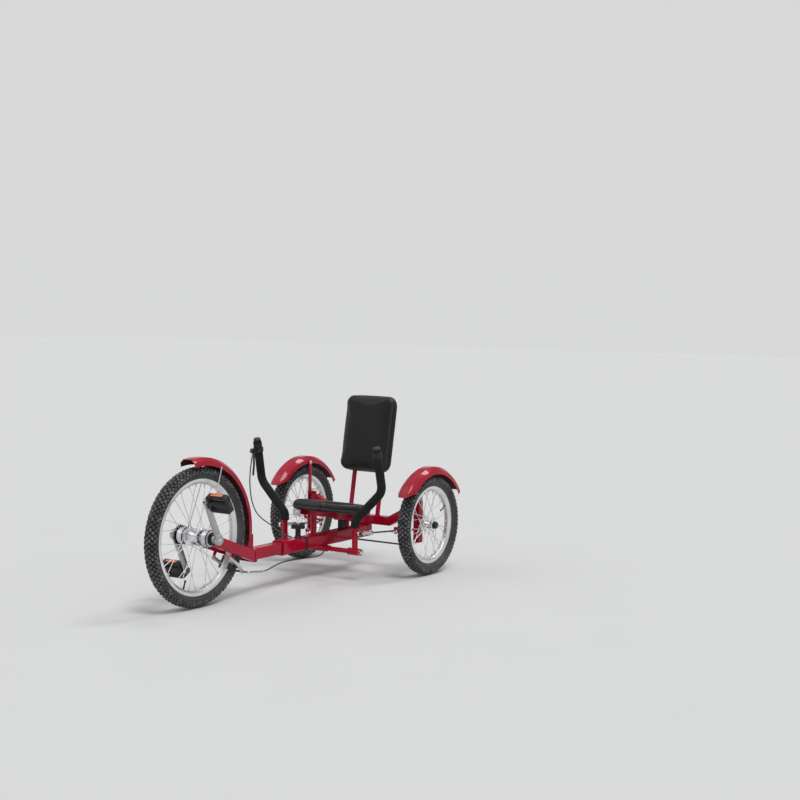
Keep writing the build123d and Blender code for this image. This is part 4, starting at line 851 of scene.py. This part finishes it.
housing_outline = (
    (42, 0), (42, 23.4), (42.8, 24.2), (45.2, 24.2), (45.5, 30.4), (46.4, 31.6), (67.6, 31.6), (68.5, 30.4),
    (68.7, 24.4), (71.2, 24.2), (72, 23.4), (72, 0),
)
inner_seal = ((39, 0), (39, 21), (39.4, 22.4), (41.6, 22.4), (42, 21), (42, 0))
outer_seal = ((72, 0), (72, 23), (72.5, 23.8), (74.5, 23.8), (75, 22.6), (75, 0))
lip_outline = ((0, 29), (0, 31.4), (0.5, 32.2), (1.8, 32.2), (2.3, 31.4), (2.3, 29))
housings, seals = [], []
for side, sign in sides:
    out = X * sign
    housings.append(lathe(front_hub, out, housing_outline, 64))
    seals.append(lathe(front_hub, out, inner_seal, 48))
    for at in (44.4, 67.8):
        seals.append(lathe(front_hub, out, [(at + along, radius) for along, radius in lip_outline], 64))
    seals.append(lathe(front_hub, out, outer_seal, 48))
piece("bearing_housings_turned", housings, alloy, "boom", ("bearing_housings",))
piece("bearing_seal_rings", seals, moulded, "boom", ("bearing_seals",))

crank_alloy = Finish("forged_crank_alloy", "satin_metal", (0.46, 0.47, 0.48), 0.24, 1.0)
crank_alloy.tint((9.0, 2), (0.3, (0.40, 0.41, 0.42)), (0.7, (0.47, 0.48, 0.49)))
crank_alloy.polish((25.0, 2), 0.2, 0.28)
crank_boss = (
    (79.5, 0), (79.5, 14.4), (80.3, 15.2), (95, 15.6), (99, 18.6), (100.2, 19.4), (112.0, 19.4), (113, 18.4),
    (113, 10.6), (112.2, 9.8), (107, 9.6), (107, 0),
)
crank_tip = ((99.6, 0), (99.6, 12.0), (100.6, 12.9), (112.2, 12.9), (113, 12.1), (113, 0))


def crank(side, out):
    """Forged arm with a raised ridge along its outer face, and the pedal's spindle in its tip."""
    arm_inner_face, arm_thickness, ridge_face = 0.1005, 0.0118, 0.1124
    tip = Vector((0, pedal_centres[side].y, pedal_centres[side].z))
    arm_line = (tip - front_hub).normalized()
    arm_side = out.cross(arm_line)
    outline = []
    for place, radius, first_turn in ((tip, 0.0112, -80), (front_hub, 0.0142, 100)):
        for number in range(9):
            t = math.radians(first_turn + 160 * number / 8)
            round_end = arm_line * radius * math.cos(t) + arm_side * radius * math.sin(t)
            outline.append(place + out * arm_inner_face + round_end)
    arm = [
        plate(outline, out, arm_thickness, 0.0030, 4),
        lathe(front_hub, out, crank_boss, 56),
        lathe(tip, out, crank_tip, 40),
    ]
    ridge_places = (
        (front_hub, 0.030, 0.0060), (tip, -0.024, 0.0044), (tip, -0.0205, 0.0), (tip, -0.024, -0.0044),
        (front_hub, 0.030, -0.0060), (front_hub, 0.026, 0.0),
    )
    ridge_outline = [
        place + out * ridge_face + arm_line * along + arm_side * aside for place, along, aside in ridge_places
    ]
    pedal_pin = lathe(tip, out, ((112.4, 0), (112.4, 7.2), (120.6, 7.2), (120.6, 0)), 28)
    piece(f"crank_{side}_forged", arm, crank_alloy, "crankset", (f"crank_{side}",), 0.6)
    ridge = plate(ridge_outline, out, 0.0007, 0.0003, 1)
    piece(f"crank_{side}_ridge", ridge, crank_alloy, "crankset", sharp=0.6)
    piece(f"crank_{side}_pedal_pin", pedal_pin, chrome, "crankset")


bolts, well_shade_discs = [], []
for side, sign in sides:
    out = X * sign
    crank(side, out)
    # A near-black disc at the bottom of the bolt's recess: painted shade in the hole.
    well_shade_discs.append(lathe(front_hub, out, ((106.6, 0), (106.6, 9.6), (107.2, 9.6), (107.2, 0)), 36))
    bolts.append(washer(front_hub, out, 107.0, 1.2, 8.2))
    bolts.append(hex_bar(front_hub, out, 108.0, 112.4, 12))
piece("crank_bolt_wells", well_shade_discs, bolt_well_painted_shade, "crankset")
piece("crank_bolts", bolts, chrome, "crankset")
rounded("crank_spindle", "crank_spindle_ground", chrome, "crankset", 0.0006)
rounded("drive_cog", "drive_cog_black", black_steel, "crankset", 0.0005)


# Pedals

pedal_pitch = math.radians(62)
pedal_up = Vector((0, math.sin(pedal_pitch), math.cos(pedal_pitch)))
pedal_long = pedal_up.cross(X)
stud_outline = ((-0.6, 0), (-0.6, 2.2), (1.6, 1.6), (2.0, 1.1), (2.0, 0))
pedal_cap_outline = ((-1, 0), (-1, 10.5), (0.6, 10.5), (1.8, 9.4), (2.2, 7), (1.6, 5.8), (1.5, 0))


def pedal(side, out):
    """Moulded pedal with studs on both treads, a framed reflector at both ends and a cap."""
    body, centre = f"pedal_{side}", pedal_centres[side]
    rounded(body, f"pedal_{side}_moulded", moulded, body, 0.0014, 3)
    lenses, frames, studs = [], [], []
    for end in (pedal_long, -pedal_long):
        lens = box_points(centre + end * 0.0344, X, pedal_up, 0.027, 0.0062, 0.0018)
        lenses.append(plate(lens, end, 0.0022, 0.0007))
        border = box_points(centre + end * 0.0346, X, pedal_up, 0.0282, 0.0074, 0.0022)
        frames.append(rod(border, 0.0012, 8, False, True))
        for tread in (pedal_up, -pedal_up):
            for offset in (-36, -24, -12, 12, 24, 36):
                studs.append((centre + end * 0.029 + X * (offset / 1000) + tread * 0.0106, tread))
    stud = lathe(Vector(), Z, stud_outline, 8)
    piece(f"pedal_{side}_studs", at_marks(studs, stud, moulded), moulded, body)
    piece(f"pedal_{side}_reflectors", lenses, amber, body)
    piece(f"pedal_{side}_reflector_frames", frames, moulded, body, sharp=0.9)
    piece(f"pedal_{side}_end_cap", lathe(centre + out * 0.047, out, pedal_cap_outline, 32), grip_rubber, body)


for side, sign in sides:
    pedal(side, X * sign)


# Frame tubes, boom and fork

painted = [
    ("main_beam", "frame", 0.0009), ("axle_beam", "frame", 0.0022), ("pivot_crossbar", "frame", 0.0008),
    ("seat_frame", "frame", 0.0016), ("back_post_left", "frame", 0.0008),
    ("back_post_right", "frame", 0.0008), ("boom", "boom", 0.0010), ("fender_post", "boom", 0.0012),
    ("fork_arm_left", "boom", 0.0008), ("fork_arm_right", "boom", 0.0008),
]
for part, body, width in (
    ("stick_tube", "stick", 0.0008), ("knuckle", "knuckle", 0.0010), ("steer_arm", "knuckle", 0.0010),
):
    painted += [(f"{part}_{side}", f"{body}_{side}", width) for side, sign in sides]
for node, body, width in painted:
    rounded(node, node + "_painted", crimson, body, width)
rounded("seat_block", "seat_block_rubber", moulded, "frame", 0.0016)
rounded("clamp_knob", "clamp_knob_moulded", moulded, "frame", 0.0024, 3)
knob_top, knob_foot = mm(0, 100.25, 232), mm(0, 100.25, 178)
knob_boss = [
    lathe(knob_top, Z, ((-2, 0), (-2, 14), (0.6, 13.6), (1.6, 12.6), (1.8, 9), (0.8, 7.6), (0.6, 0)), 36),
    lathe(knob_foot, Z, ((0, 0), (0, 15.5), (1.6, 15.5), (3.4, 13.8), (9, 11.2), (9, 0)), 36),
]
piece("clamp_knob_boss", knob_boss, moulded, "frame")
piece("clamp_knob_screw", hex_bar(knob_top, Z, 0.4, 2.6, 10), spoke_steel, "frame")
rounded("cable_tie", "cable_strap", moulded, "frame", 0.0005)
nodes["fender_stays"].data.materials.clear()
nodes["fender_stays"].data.materials.append(spoke_steel.material)


def weld(points, cyclic=True, width=0.0042, seed=1):
    """Row of uneven ripples along points; seed decides their sizes."""
    length, spacing, uneven = 0.0030, 0.0021, 0.12
    return along_seam(points, bead(length, width), crimson, spacing, 1.0, uneven, seed, cyclic)


def box_weld(place, side_a, side_b, half_a, half_b, corner, seed, width=0.0042):
    return weld(box_points(place, side_a, side_b, half_a, half_b, corner), width=width, seed=seed)


def straight_weld(start, end, seed):
    return weld([mm(*start), mm(*end)], False, seed=seed)


frame_welds = [
    box_weld(mm(0, -4.75, 153), X, Z, 0.0252, 0.0252, 0.006, 2),
    weld(ring_points(mm(0, 203.25, 178.2), Z, 0.0132), seed=3),
    weld(ring_points(mm(0, 435.25, 178.2), Z, 0.0117), seed=4),
    straight_weld((-24, 548.0, 178.4), (24, 548.0, 178.4), 5),
    straight_weld((-24, 572.5, 178.4), (24, 572.5, 178.4), 6),
    straight_weld((-33, 548.0, 185.2), (33, 548.0, 185.2), 16),
    straight_weld((25.2, 219, 128), (25.2, 267, 128), 7),
    straight_weld((-25.2, 219, 128), (-25.2, 267, 128), 8),
]
for side, sign in sides:
    frame_welds.append(weld(ring_points(mm(sign * 70, 560.6, 222.4), Z, 0.0102), seed=9))
    sloped = (Z + X * sign * -0.12).normalized()
    wing_root = mm(sign * 137.2, 560.25, 204.2)
    frame_welds.append(box_weld(wing_root, Y, sloped, 0.0161, 0.0188, 0.003, 10, 0.0032))
piece("frame_weld_beads", frame_welds, crimson, "frame", sharp=1.2)
boom_welds = [
    box_weld(mm(0, -212.4, 153), X, Z, 0.0224, 0.0224, 0.005, 11),
    box_weld(mm(0, -205.75, 175.6), X, Y, 0.0102, 0.0122, 0.002, 12),
]
for side, sign in sides:
    boom_welds.append(box_weld(mm(sign * 34.6, -223.4, 153.4), X, Z, 0.0103, 0.0215, 0.004, 13))
piece("boom_weld_beads", boom_welds, crimson, "boom", sharp=1.2)

pivot_y, pivot_z, tube_radius, barrel_radius = 243.25, 120, 12.3, 14.3
for side, sign in sides:
    saddle = []
    for k in range(40):
        t = 2 * math.pi * k / 40
        aside, along = tube_radius * math.cos(t), tube_radius * math.sin(t)
        rise = math.sqrt(barrel_radius ** 2 - along ** 2)
        saddle.append(mm(sign * 177 + aside, pivot_y + along, pivot_z + rise))
    piece(f"stick_{side}_weld_bead", weld(saddle, seed=14), crimson, f"stick_{side}", sharp=1.2)


# Fenders

def fender_section(half, radius):
    """Right half of a fender's section (across, out): its skin, then its lining back to the middle."""
    shoulder = radius - 14
    edge = shoulder - 16
    skin = [(0, radius), (12, radius)]
    for share in (0, 0.33, 0.67, 1):
        skin.append((17.2 + 3.4 * share, radius - 1.5 * share ** 2 - 0.1))
    skin += [
        (half - 2.0, shoulder + 1.6), (half - 0.9, shoulder + 0.4), (half - 0.25, shoulder - 1.0),
        (half, shoulder - 2.8), (half, edge + 3.4), (half + 0.7, edge + 2.4), (half + 1.0, edge + 1.2),
        (half + 0.6, edge + 0.1), (half - 0.6, edge - 0.4),
    ]
    lining = [
        (half - 2.0, edge + 0.2), (half - 2.0, shoulder - 2.0), (half - 3.2, shoulder - 0.2),
        (19, radius - 3.4), (16.6, radius - 2.0), (0, radius - 2),
    ]
    return skin, lining


def close_end(bm, skin, lining):
    """Faces between the skin and the lining of half a section, both from the middle outward."""
    here = 0
    for k in range(len(skin) - 1):
        after = round((k + 1) * (len(lining) - 1) / (len(skin) - 1))
        corners = [skin[k], skin[k + 1], lining[after]]
        if after != here:
            corners.append(lining[here])
        bm.faces.new(corners)
        here = after


def fender(name, hub, width, radius, first, last, rake, body, node):
    """Folded sheet fender: flat crown, two creases and rolled lips, swept round the wheel."""
    skin, lining = fender_section(width / 2, radius)
    half = skin + lining
    section = half + [(-x, r) for x, r in reversed(half[1:-1])]
    count = len(section)
    steps = max(12, int((last - first) / 2))
    bm = bmesh.new()
    rows = []
    for number in range(steps + 1):
        row = []
        for x, r in section:
            low = first + rake * min(1.0, (radius - r) / 22)
            angle = math.radians(low + (last - low) * number / steps)
            row.append(bm.verts.new(hub + mm(x, r * math.sin(angle), r * math.cos(angle))))
        rows.append(row)
    for low, high in zip(rows, rows[1:]):
        for k in range(count):
            bm.faces.new((low[k], low[(k + 1) % count], high[(k + 1) % count], high[k]))
    for row in (rows[0], rows[-1]):
        other_half = [row[-k] for k in range(1, len(half) - 1)]
        for half_row in (row[:len(half)], [row[0], *other_half, row[len(half) - 1]]):
            close_end(bm, half_row[:len(skin)], half_row[len(skin):][::-1])
    bmesh.ops.recalc_face_normals(bm, faces=bm.faces)

    # Faces toward the wheel get the darker red of the painted shade under the fender.
    def faces_wheel_in_painted_shade(polygon):
        from_hub = polygon.center - hub
        outward = Vector((0, from_hub.y, from_hub.z)).normalized()
        return polygon.normal.dot(outward) < -0.35 or polygon.normal.x * from_hub.x < -0.012

    piece(name, from_bmesh(bm, name), crimson, body, (node,), 0.7, other=painted_shade_underside, belongs=faces_wheel_in_painted_shade)


def small_bolts(name, marks, body):
    piece(name, at_marks(marks, hex_head(0.009, 0.004, 0.0012), spoke_steel), spoke_steel, body)


def rear_fender(side, sign):
    """Rear fender with its strut, and the nuts of the kingpin and the tie pin under it."""
    body, out = f"knuckle_{side}", X * sign
    strut_x, kingpin_x, kingpin_y, tie_pin_y = 284 * sign, 265 * sign, 560.25, 515.25
    housing_top, housing_bottom, tie_pin_top = 298.3, 127.7, 135.7
    fender(f"rear_fender_{side}_sheet", rear_hubs[side], 74, 240.5, -57, 58, 10, body, f"rear_fender_{side}")
    strut = [mm(strut_x, y, z) for y, z in (
        (550.25, 298.4), (570.25, 298.4), (570.25, 426), (566, 431), (554.5, 431), (550.25, 426),
    )]
    piece(f"rear_fender_{side}_strut", plate(strut, out, 0.004, 0.0008), crimson, body, sharp=0.6)
    small_bolts(f"rear_fender_{side}_bolts", [(mm(strut_x, kingpin_y, 422), -out)], body)
    top = mm(kingpin_x, kingpin_y, housing_top)
    nuts = [
        washer(top, Z, 0, 1.4, 12.4),
        hex_bar(top, Z, 1.2, 8.4, 18.4),
        lathe(top, Z, ((8, 0), (8, 7.6), (9.6, 7.0), (9.8, 5.6), (9.0, 5.4), (9.0, 0)), 28),
        hex_bar(mm(kingpin_x, kingpin_y, housing_bottom), -Z, 0, 7.0, 18.4),
    ]
    piece(f"kingpin_{side}_nuts", nuts, chrome, body)
    tie_pin = mm(kingpin_x, tie_pin_y, tie_pin_top)
    tie_bolt = [washer(tie_pin, Z, 0, 1.2, 8.6), hex_bar(tie_pin, Z, 1.0, 6.2, 13)]
    piece(f"tie_pin_{side}_bolt", tie_bolt, chrome, body)


fender("front_fender_sheet", front_hub, 70, 292, -10, 103, 0, "boom", "front_fender")
for side, sign in sides:
    rear_fender(side, sign)
small_bolts("fender_post_bolts", [(mm(0, -193.75, z), Y) for z in (196, 216)], "boom")


# Side sticks: foam, grip caps, pins

grip_cap_outline = (
    (6, 0), (6, 13), (8, 14.6), (11, 14.9), (14, 14.2), (16.2, 11.8), (17.2, 8), (17, 4.2), (16.2, 3.6),
    (16.2, 0),
)
pivot_washer = ((-0.6, 0), (-0.6, 13.6), (0.2, 14.1), (1.6, 14.1), (2.2, 13.4), (2.2, 0))
pivot_nut = ((2, 0), (2, 9.6), (3, 10.4), (6.4, 10.4), (7.4, 9.2), (9.6, 6.4), (10.6, 3), (10.8, 0))
bush_outline = ((-0.4, 9), (-0.4, 14.4), (0.6, 14.8), (1.8, 14.4), (1.8, 9))
rib_outline = ((0, 15), (0.6, 18.0), (1.6, 18.4), (2.6, 18.0), (3.2, 15))


def stick(side, sign):
    """Foam sleeve, ribbed grip end and the bolt and bush of the stick's pivot."""
    body, out = f"stick_{side}", X * sign
    rounded(f"stick_foam_{side}", f"stick_foam_{side}_sleeve", foam, body, 0.0012, 2)
    top = mm(sign * 300, 211.25, 535)
    along = (top - mm(sign * 303, 247.25, 370)).normalized()
    piece(f"grip_{side}_cap", lathe(top, along, grip_cap_outline, 40), grip_rubber, body, sharp=0.6)
    ribs = []
    for number in range(5):
        at = -8 - number * 5.2
        ribs.append(lathe(top, along, [(at + step, radius) for step, radius in rib_outline], 40))
    piece(f"grip_{side}_ribs", ribs, grip_rubber, body, sharp=0.6)
    axle_end, bush_at = mm(sign * 204.8, 243.25, 120), mm(sign * 149.5, 243.25, 120)
    bolt = [lathe(axle_end, out, pivot_washer, 40), lathe(axle_end, out, pivot_nut, 32)]
    piece(f"stick_{side}_pivot_bolt", bolt, chrome, "frame")
    piece(f"stick_{side}_bush_ring", lathe(bush_at, -out, bush_outline, 40), moulded, body)


for side, sign in sides:
    stick(side, sign)


# Steering links

boot_outline = (
    (5, 0), (5, 8.4), (6.2, 8.8), (7.2, 7.4), (8.2, 7.9), (9.2, 6.4), (10, 6.6), (10.8, 5.2), (10.8, 0),
)


def drag_link(side, sign):
    """Rod with an eye and a turnbuckle in front and a ball joint with its boot behind."""
    body, out = f"drag_link_{side}", X * sign
    front, rear = mm(sign * 198, 243.25, 195), mm(sign * 193, 516.25, 172.7)
    line = (rear - front).normalized()
    rod_end = (rear - front).length * 1000 - 14
    bright = [
        lathe(front, out, ((-4, 0), (-4, 9.2), (-3.2, 10), (3.2, 10), (4, 9.2), (4, 0)), 36),
        lathe(front, line, ((6, 0), (6, 5), (22, 5.4), (22, 0)), 24),
        hex_bar(front, line, 22, 32, 19, 1.2),
        lathe(front, line, ((31, 0), (31, 7.4), (81, 7.4), (81, 0)), 32),
        hex_bar(front, line, 80, 90, 19, 1.2),
        hex_bar(front, line, 91, 97, 13),
        hex_bar(rear, -line, 22, 28, 12),
        lathe(rear, -line, ((6, 0), (6, 5.6), (21, 5.2), (21, 0)), 24),
        lathe(rear, Z, ((-7, 0), (-7, 8.2), (-6, 9), (4.5, 9), (5.5, 8.4), (5.5, 0)), 36),
    ]
    piece(f"drag_link_{side}_turnbuckle", bright, chrome, body, (f"drag_link_{side}",))
    bar = lathe(front, line, ((18, 0), (18, 3.3), (rod_end, 3.3), (rod_end, 0)), 20)
    piece(f"drag_link_{side}_rod", bar, black_steel, body)
    piece(f"drag_link_{side}_boot", lathe(rear, Z, boot_outline, 32), grip_rubber, body, sharp=0.6)
    bolt = [washer(front, out, 4, 1.2, 8.4), hex_bar(front, out, 5.2, 9.6, 14)]
    piece(f"drag_link_{side}_bolt", bolt, black_steel, body)


for side, sign in sides:
    drag_link(side, sign)

tie_eyes = {side: mm(sign * 265, 515.25, 119) for side, sign in sides}
tie_bar = lathe(tie_eyes["right"], X, ((8, 0), (8, 3.5), (522, 3.5), (522, 0)), 20)
piece("tie_rod_bar", tie_bar, black_steel, "tie_rod", ("tie_rod",))
ends = []
for side, sign in sides:
    eye, inward = tie_eyes[side], -X * sign
    ends += [
        lathe(eye, Z, ((-4.5, 0), (-4.5, 8.2), (-3.6, 9), (3.6, 9), (4.5, 8.2), (4.5, 0)), 36),
        lathe(eye, inward, ((7, 0), (7, 5.2), (26, 5.0), (26, 0)), 24),
        hex_bar(eye, inward, 27, 33, 12),
    ]
piece("tie_rod_ends", ends, chrome, "tie_rod")


# Rim brake

rounded("brake_arms", "brake_arms_cast", alloy, "boom", 0.0012, 3)
rounded("brake_pads", "brake_pads_rubber", grip_rubber, "boom", 0.0014, 3)
brake_middle = mm(0, -275.1, 98.75)
guide_path = [mm(*place) for place in (
    (26, -275.1, 98.75), (42, -275.1, 98.75), (51.5, -275.1, 98.6), (52, -266, 97.8), (52, -217.1, 92.75),
    (52, -181, 89),
)]
pipe = rod(guide_path, 0.0037, 16)
piece("brake_cable_pipe", pipe, crank_alloy, "boom", ("brake_guide",), 0.9)
pipe_line = (guide_path[-1] - guide_path[-2]).normalized()
ferrule_outline = ((-10, 0), (-10, 3.6), (-9.4, 4.2), (2, 4.2), (3, 3.8), (3, 0))
piece("brake_pipe_ferrule", lathe(guide_path[-1], pipe_line, ferrule_outline, 24), chrome, "boom")

bellows = [(0, 0), (0, 4.6)]
for number in range(9):
    at = 1.2 + number * 3.1
    bellows += [(at, 5.2 - number * 0.16), (at + 1.5, 3.6 - number * 0.14)]
bellows += [(30.5, 2.6), (30.5, 0)]
boot = lathe(brake_middle + mm(21, 0, 0), -X, bellows, 28)
piece("brake_cable_boot", boot, grip_rubber, "boom", sharp=0.9)
wire_steps = ((22, 0, 0), (0, 0, 0), (-26, 0, 0), (-30, 4, -6), (-31, 10, -14))
wire = rod([brake_middle + mm(*step) for step in wire_steps], 0.0009, 8)
piece("brake_inner_wire", wire, spoke_steel, "boom", sharp=0.9)

fork_angle = math.radians(124)
fork_line = Vector((0, math.sin(fork_angle), math.cos(fork_angle)))
fork_under = fork_line.cross(X)
if fork_under.z > 0:
    fork_under = -fork_under
arm_bolts = []
for side, sign in sides:
    out = X * sign
    arm_root = front_hub + fork_line * 0.176 + out * 0.0396 + fork_under * 0.006
    pad_place = front_hub + fork_line * 0.208 + out * 0.0275
    arm_bolts += [
        washer(arm_root, fork_under, 0, 1.4, 7.6), hex_bar(arm_root, fork_under, 1.2, 5.0, 10),
        washer(pad_place, out, -0.5, 1.6, 6.5), hex_bar(pad_place, out, 1.0, 5.5, 9),
    ]
piece("brake_arm_bolts", arm_bolts, spoke_steel, "boom")


# Brake lever and cables

rounded("brake_lever", "brake_lever_black", black_steel, "stick_right", 0.0014, 3)
cable_radius = 0.0025
upper_path = [mm(*place) for place in (
    (-300.6, 180.5, 489.5), (-302.6, 170.5, 431.5), (-301.6, 164.5, 373.5), (-297.6, 166.5, 319.5),
    (-292, 172, 282), (-262, 160, 248), (-222, 145, 229), (-176, 129, 217), (-132, 108, 209), (-98, 89, 202),
    (-72, 78, 197), (-51, 71, 192), (-36, 74, 186), (-28.3, 86.25, 180), (-27.8, 101.25, 174),
    (-27.8, 118.25, 170), (-27.8, 140.25, 168),
)]
lower_path = [mm(*place) for place in (
    (-27.8, 140.25, 168), (-27.8, 160.25, 166), (-27.8, 192.25, 163), (-28.8, 229.25, 162),
    (-28.8, 271.25, 159), (-29.8, 301.25, 149), (-28.8, 319.25, 127), (-22.8, 315.25, 101),
    (-17.8, 289.25, 83), (-11.8, 237.25, 80), (-6, 167.25, 86), (3, 93.25, 92), (11, 19.25, 97),
    (22, -54.75, 97), (38, -122.75, 91), (52, -177.3, 88.6), (52, -217.1, 92.75),
)]


def cable(name, path):
    """One stretch of the sheathed cable, on no body."""
    cover = rod(path, cable_radius, 16, fine=8)
    return piece(name + "_cover", cover, cable_cover, None, (name,), 0.9)


upper_cable = cable("brake_cable_upper", upper_path)
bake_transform(upper_cable)
lower_cable = cable("brake_cable_lower", lower_path)
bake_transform(lower_cable)

lever_mouth = upper_path[0]
adjuster_line = (upper_path[1] - upper_path[0]).normalized()
adjuster = [
    lathe(lever_mouth, adjuster_line, ((-8, 0), (-8, 3.4), (2, 3.4), (2, 0)), 20),
    hex_bar(lever_mouth, adjuster_line, 2, 6, 8, 0.6),
    lathe(lever_mouth, adjuster_line, ((6, 0), (6, 3.6), (15, 3.3), (16, 2.9), (16, 0)), 20),
]
piece("lever_barrel_adjuster", adjuster, spoke_steel, "stick_right")


# Padded seat and back

def loop_at(mesh, place, normal):
    """Points, in order, where a plane cuts a closed mesh."""
    bm = bmesh.new()
    bm.from_mesh(mesh)
    everything = bm.verts[:] + bm.edges[:] + bm.faces[:]
    cut = bmesh.ops.bisect_plane(bm, geom=everything, plane_co=place, plane_no=normal)
    lines = [e for e in cut["geom_cut"] if isinstance(e, bmesh.types.BMEdge)]
    inside = set(lines)
    vert = lines[0].verts[0]
    ordered, used = [], set()
    while True:
        ordered.append(vert.co.copy())
        nxt = next((e for e in vert.link_edges if e in inside and e not in used), None)
        if nxt is None:
            break
        used.add(nxt)
        vert = nxt.other_vert(vert)
    bm.free()
    return ordered[:-1] if (ordered[0] - ordered[-1]).length < 1e-6 else ordered


def evened(points, spacing):
    """The same closed loop with points at even distances, smoothed a little."""
    closed = points + [points[0]]
    runs = [(b - a).length for a, b in zip(closed, closed[1:])]
    total = sum(runs)
    count = max(24, int(total / spacing))
    made, index, passed = [], 0, 0.0
    for number in range(count):
        target = total * number / count
        while passed + runs[index] < target:
            passed += runs[index]
            index += 1
        share = (target - passed) / runs[index] if runs[index] else 0
        made.append(closed[index].lerp(closed[index + 1], share))
    return [(made[k - 1] + made[k] * 2 + made[(k + 1) % count]) / 4 for k in range(count)]


def cushion(name, node, origin, normal, cap, seams):
    """Mesh blown up from a CAD solid by up to cap and pulled in at its seams, on a base at origin."""
    shrink_across, shrink_up = 0.985, 0.98
    glued_height, seam_reach, seam_depth = 0.006, 0.007, 0.0013

    bm = bmesh.new()
    bm.from_mesh(nodes[node].data)
    bmesh.ops.remove_doubles(bm, verts=bm.verts, dist=2e-6)
    middle = sum((v.co for v in bm.verts), Vector()) / len(bm.verts)
    centre = middle - normal * (middle - origin).dot(normal)
    for vert in bm.verts:
        height = (vert.co - origin).dot(normal)
        flat_place = vert.co - normal * height
        vert.co = centre + (flat_place - centre) * shrink_across + normal * height * shrink_up
    draft = bpy.data.objects.new(name, from_bmesh(bm, name))
    scene.collection.objects.link(draft)
    grid = draft.modifiers.new("grid", "REMESH")
    grid.mode = "VOXEL"
    grid.voxel_size = 0.005
    mesh = evaluated(draft)
    draft.modifiers.clear()
    draft.data = mesh

    group = draft.vertex_groups.new(name="held")
    held = [v.index for v in mesh.vertices if (v.co - origin).dot(normal) < glued_height]
    group.add(held, 1.0, "REPLACE")
    cloth = draft.modifiers.new("cloth", "CLOTH")
    cloth.settings.use_pressure = True
    cloth.settings.uniform_pressure_force = 4
    cloth.settings.effector_weights.gravity = 0
    cloth.settings.vertex_group_mass = "held"
    start_places = [v.co.copy() for v in mesh.vertices]
    for number in range(1, 21):
        scene.frame_set(number)
    blown = evaluated(draft)
    draft.modifiers.clear()
    for vert, before in zip(mesh.vertices, start_places):
        shift = blown.vertices[vert.index].co - before
        if shift.length > 1e-6:
            shift *= cap * (1 - math.exp(-shift.length / cap)) / shift.length
        vert.co = before + shift
    bpy.data.meshes.remove(blown)
    scene.frame_set(1)

    bm = bmesh.new()
    bm.from_mesh(mesh)
    for _ in range(5):
        bmesh.ops.smooth_vert(
            bm, verts=bm.verts, factor=0.5, use_axis_x=True, use_axis_y=True, use_axis_z=True,
        )
    bm.normal_update()
    for vert in bm.verts:
        height = (vert.co - origin).dot(normal)
        side_share = math.sqrt(max(0.0, 1 - vert.normal.dot(normal) ** 2))
        for seam in seams:
            away = abs(height - seam)
            if away < seam_reach and side_share > 0.3:
                vert.co -= vert.normal * seam_depth * (1 - away / seam_reach) * side_share
    bm.to_mesh(mesh)
    bm.free()
    fine = draft.modifiers.new("fine", "SUBSURF")
    fine.levels = fine.render_levels = 1
    final = evaluated(draft)
    bpy.data.objects.remove(draft)
    return final


def upholster(name, origin, normal, cap, seams, stitch_heights, seed):
    """Blown-up pad with piping along its seams and a row of stitches round it at each of the heights."""
    piping_radius, stitch_pitch = 0.0021, 0.0052
    mesh = cushion(name, name + "_cushion", origin, normal, cap, seams)

    def loop(height, spacing):
        return evened(loop_at(mesh, origin + normal * height, normal), spacing)

    cords = [rod(loop(height, 0.005), piping_radius, 12, True, True, 2) for height in seams]
    stitches = []
    for height in stitch_heights:
        stitch = lathe(Vector(), Z, ((-1.6, 0), (-1.4, 0.35), (0, 0.5), (1.4, 0.35), (1.6, 0)), 6)
        stitches.append(along_seam(loop(height, 0.004), stitch, thread, stitch_pitch, seed=seed))
    pad = piece(name + "_pad_vinyl", mesh, vinyl, "frame", (name + "_cushion",), None)
    for polygon in pad.data.polygons:
        polygon.use_smooth = True
    piece(name + "_piping", cords, piping, "frame", sharp=1.2)
    piece(name + "_stitching", stitches, thread, "frame", sharp=1.2)


seat_tilt = math.radians(9)
seat_origin = mm(0, 203.25, 275)
seat_up = Vector((0, math.sin(seat_tilt), math.cos(seat_tilt)))
seat_ahead = Vector((0, -math.cos(seat_tilt), math.sin(seat_tilt)))
upholster("seat", seat_origin, seat_up, 0.006, (0.009, 0.030), (0.0255, 0.0135), 21)

lip = seat_origin + seat_ahead * 0.0402 - seat_up * 0.0012
bracket_outline = [
    lip - X * 0.072, lip - X * 0.034, lip - X * 0.036 - seat_up * 0.024, lip - X * 0.070 - seat_up * 0.024,
]
bracket = plate(bracket_outline, seat_ahead, 0.0028, 0.0009)
piece("seat_front_bracket", bracket, crank_alloy, "frame", sharp=0.6)
bolt_place = lip + seat_ahead * 0.0026 - X * 0.053 - seat_up * 0.012
bracket_bolt = at_marks([(bolt_place, seat_ahead)], hex_head(0.008, 0.004, 0.001), spoke_steel)
piece("seat_bracket_bolt", bracket_bolt, spoke_steel, "frame")

back_lean = math.radians(10)
back_ahead = Vector((0, -math.cos(back_lean), math.sin(back_lean)))
back_thickness = 0.045
low_corner, high_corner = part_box("back_cushion")
back_origin = (low_corner + high_corner) / 2 - back_ahead * back_thickness / 2
upholster("back", back_origin, back_ahead, 0.008, (0.010, 0.034), (0.0385,), 22)
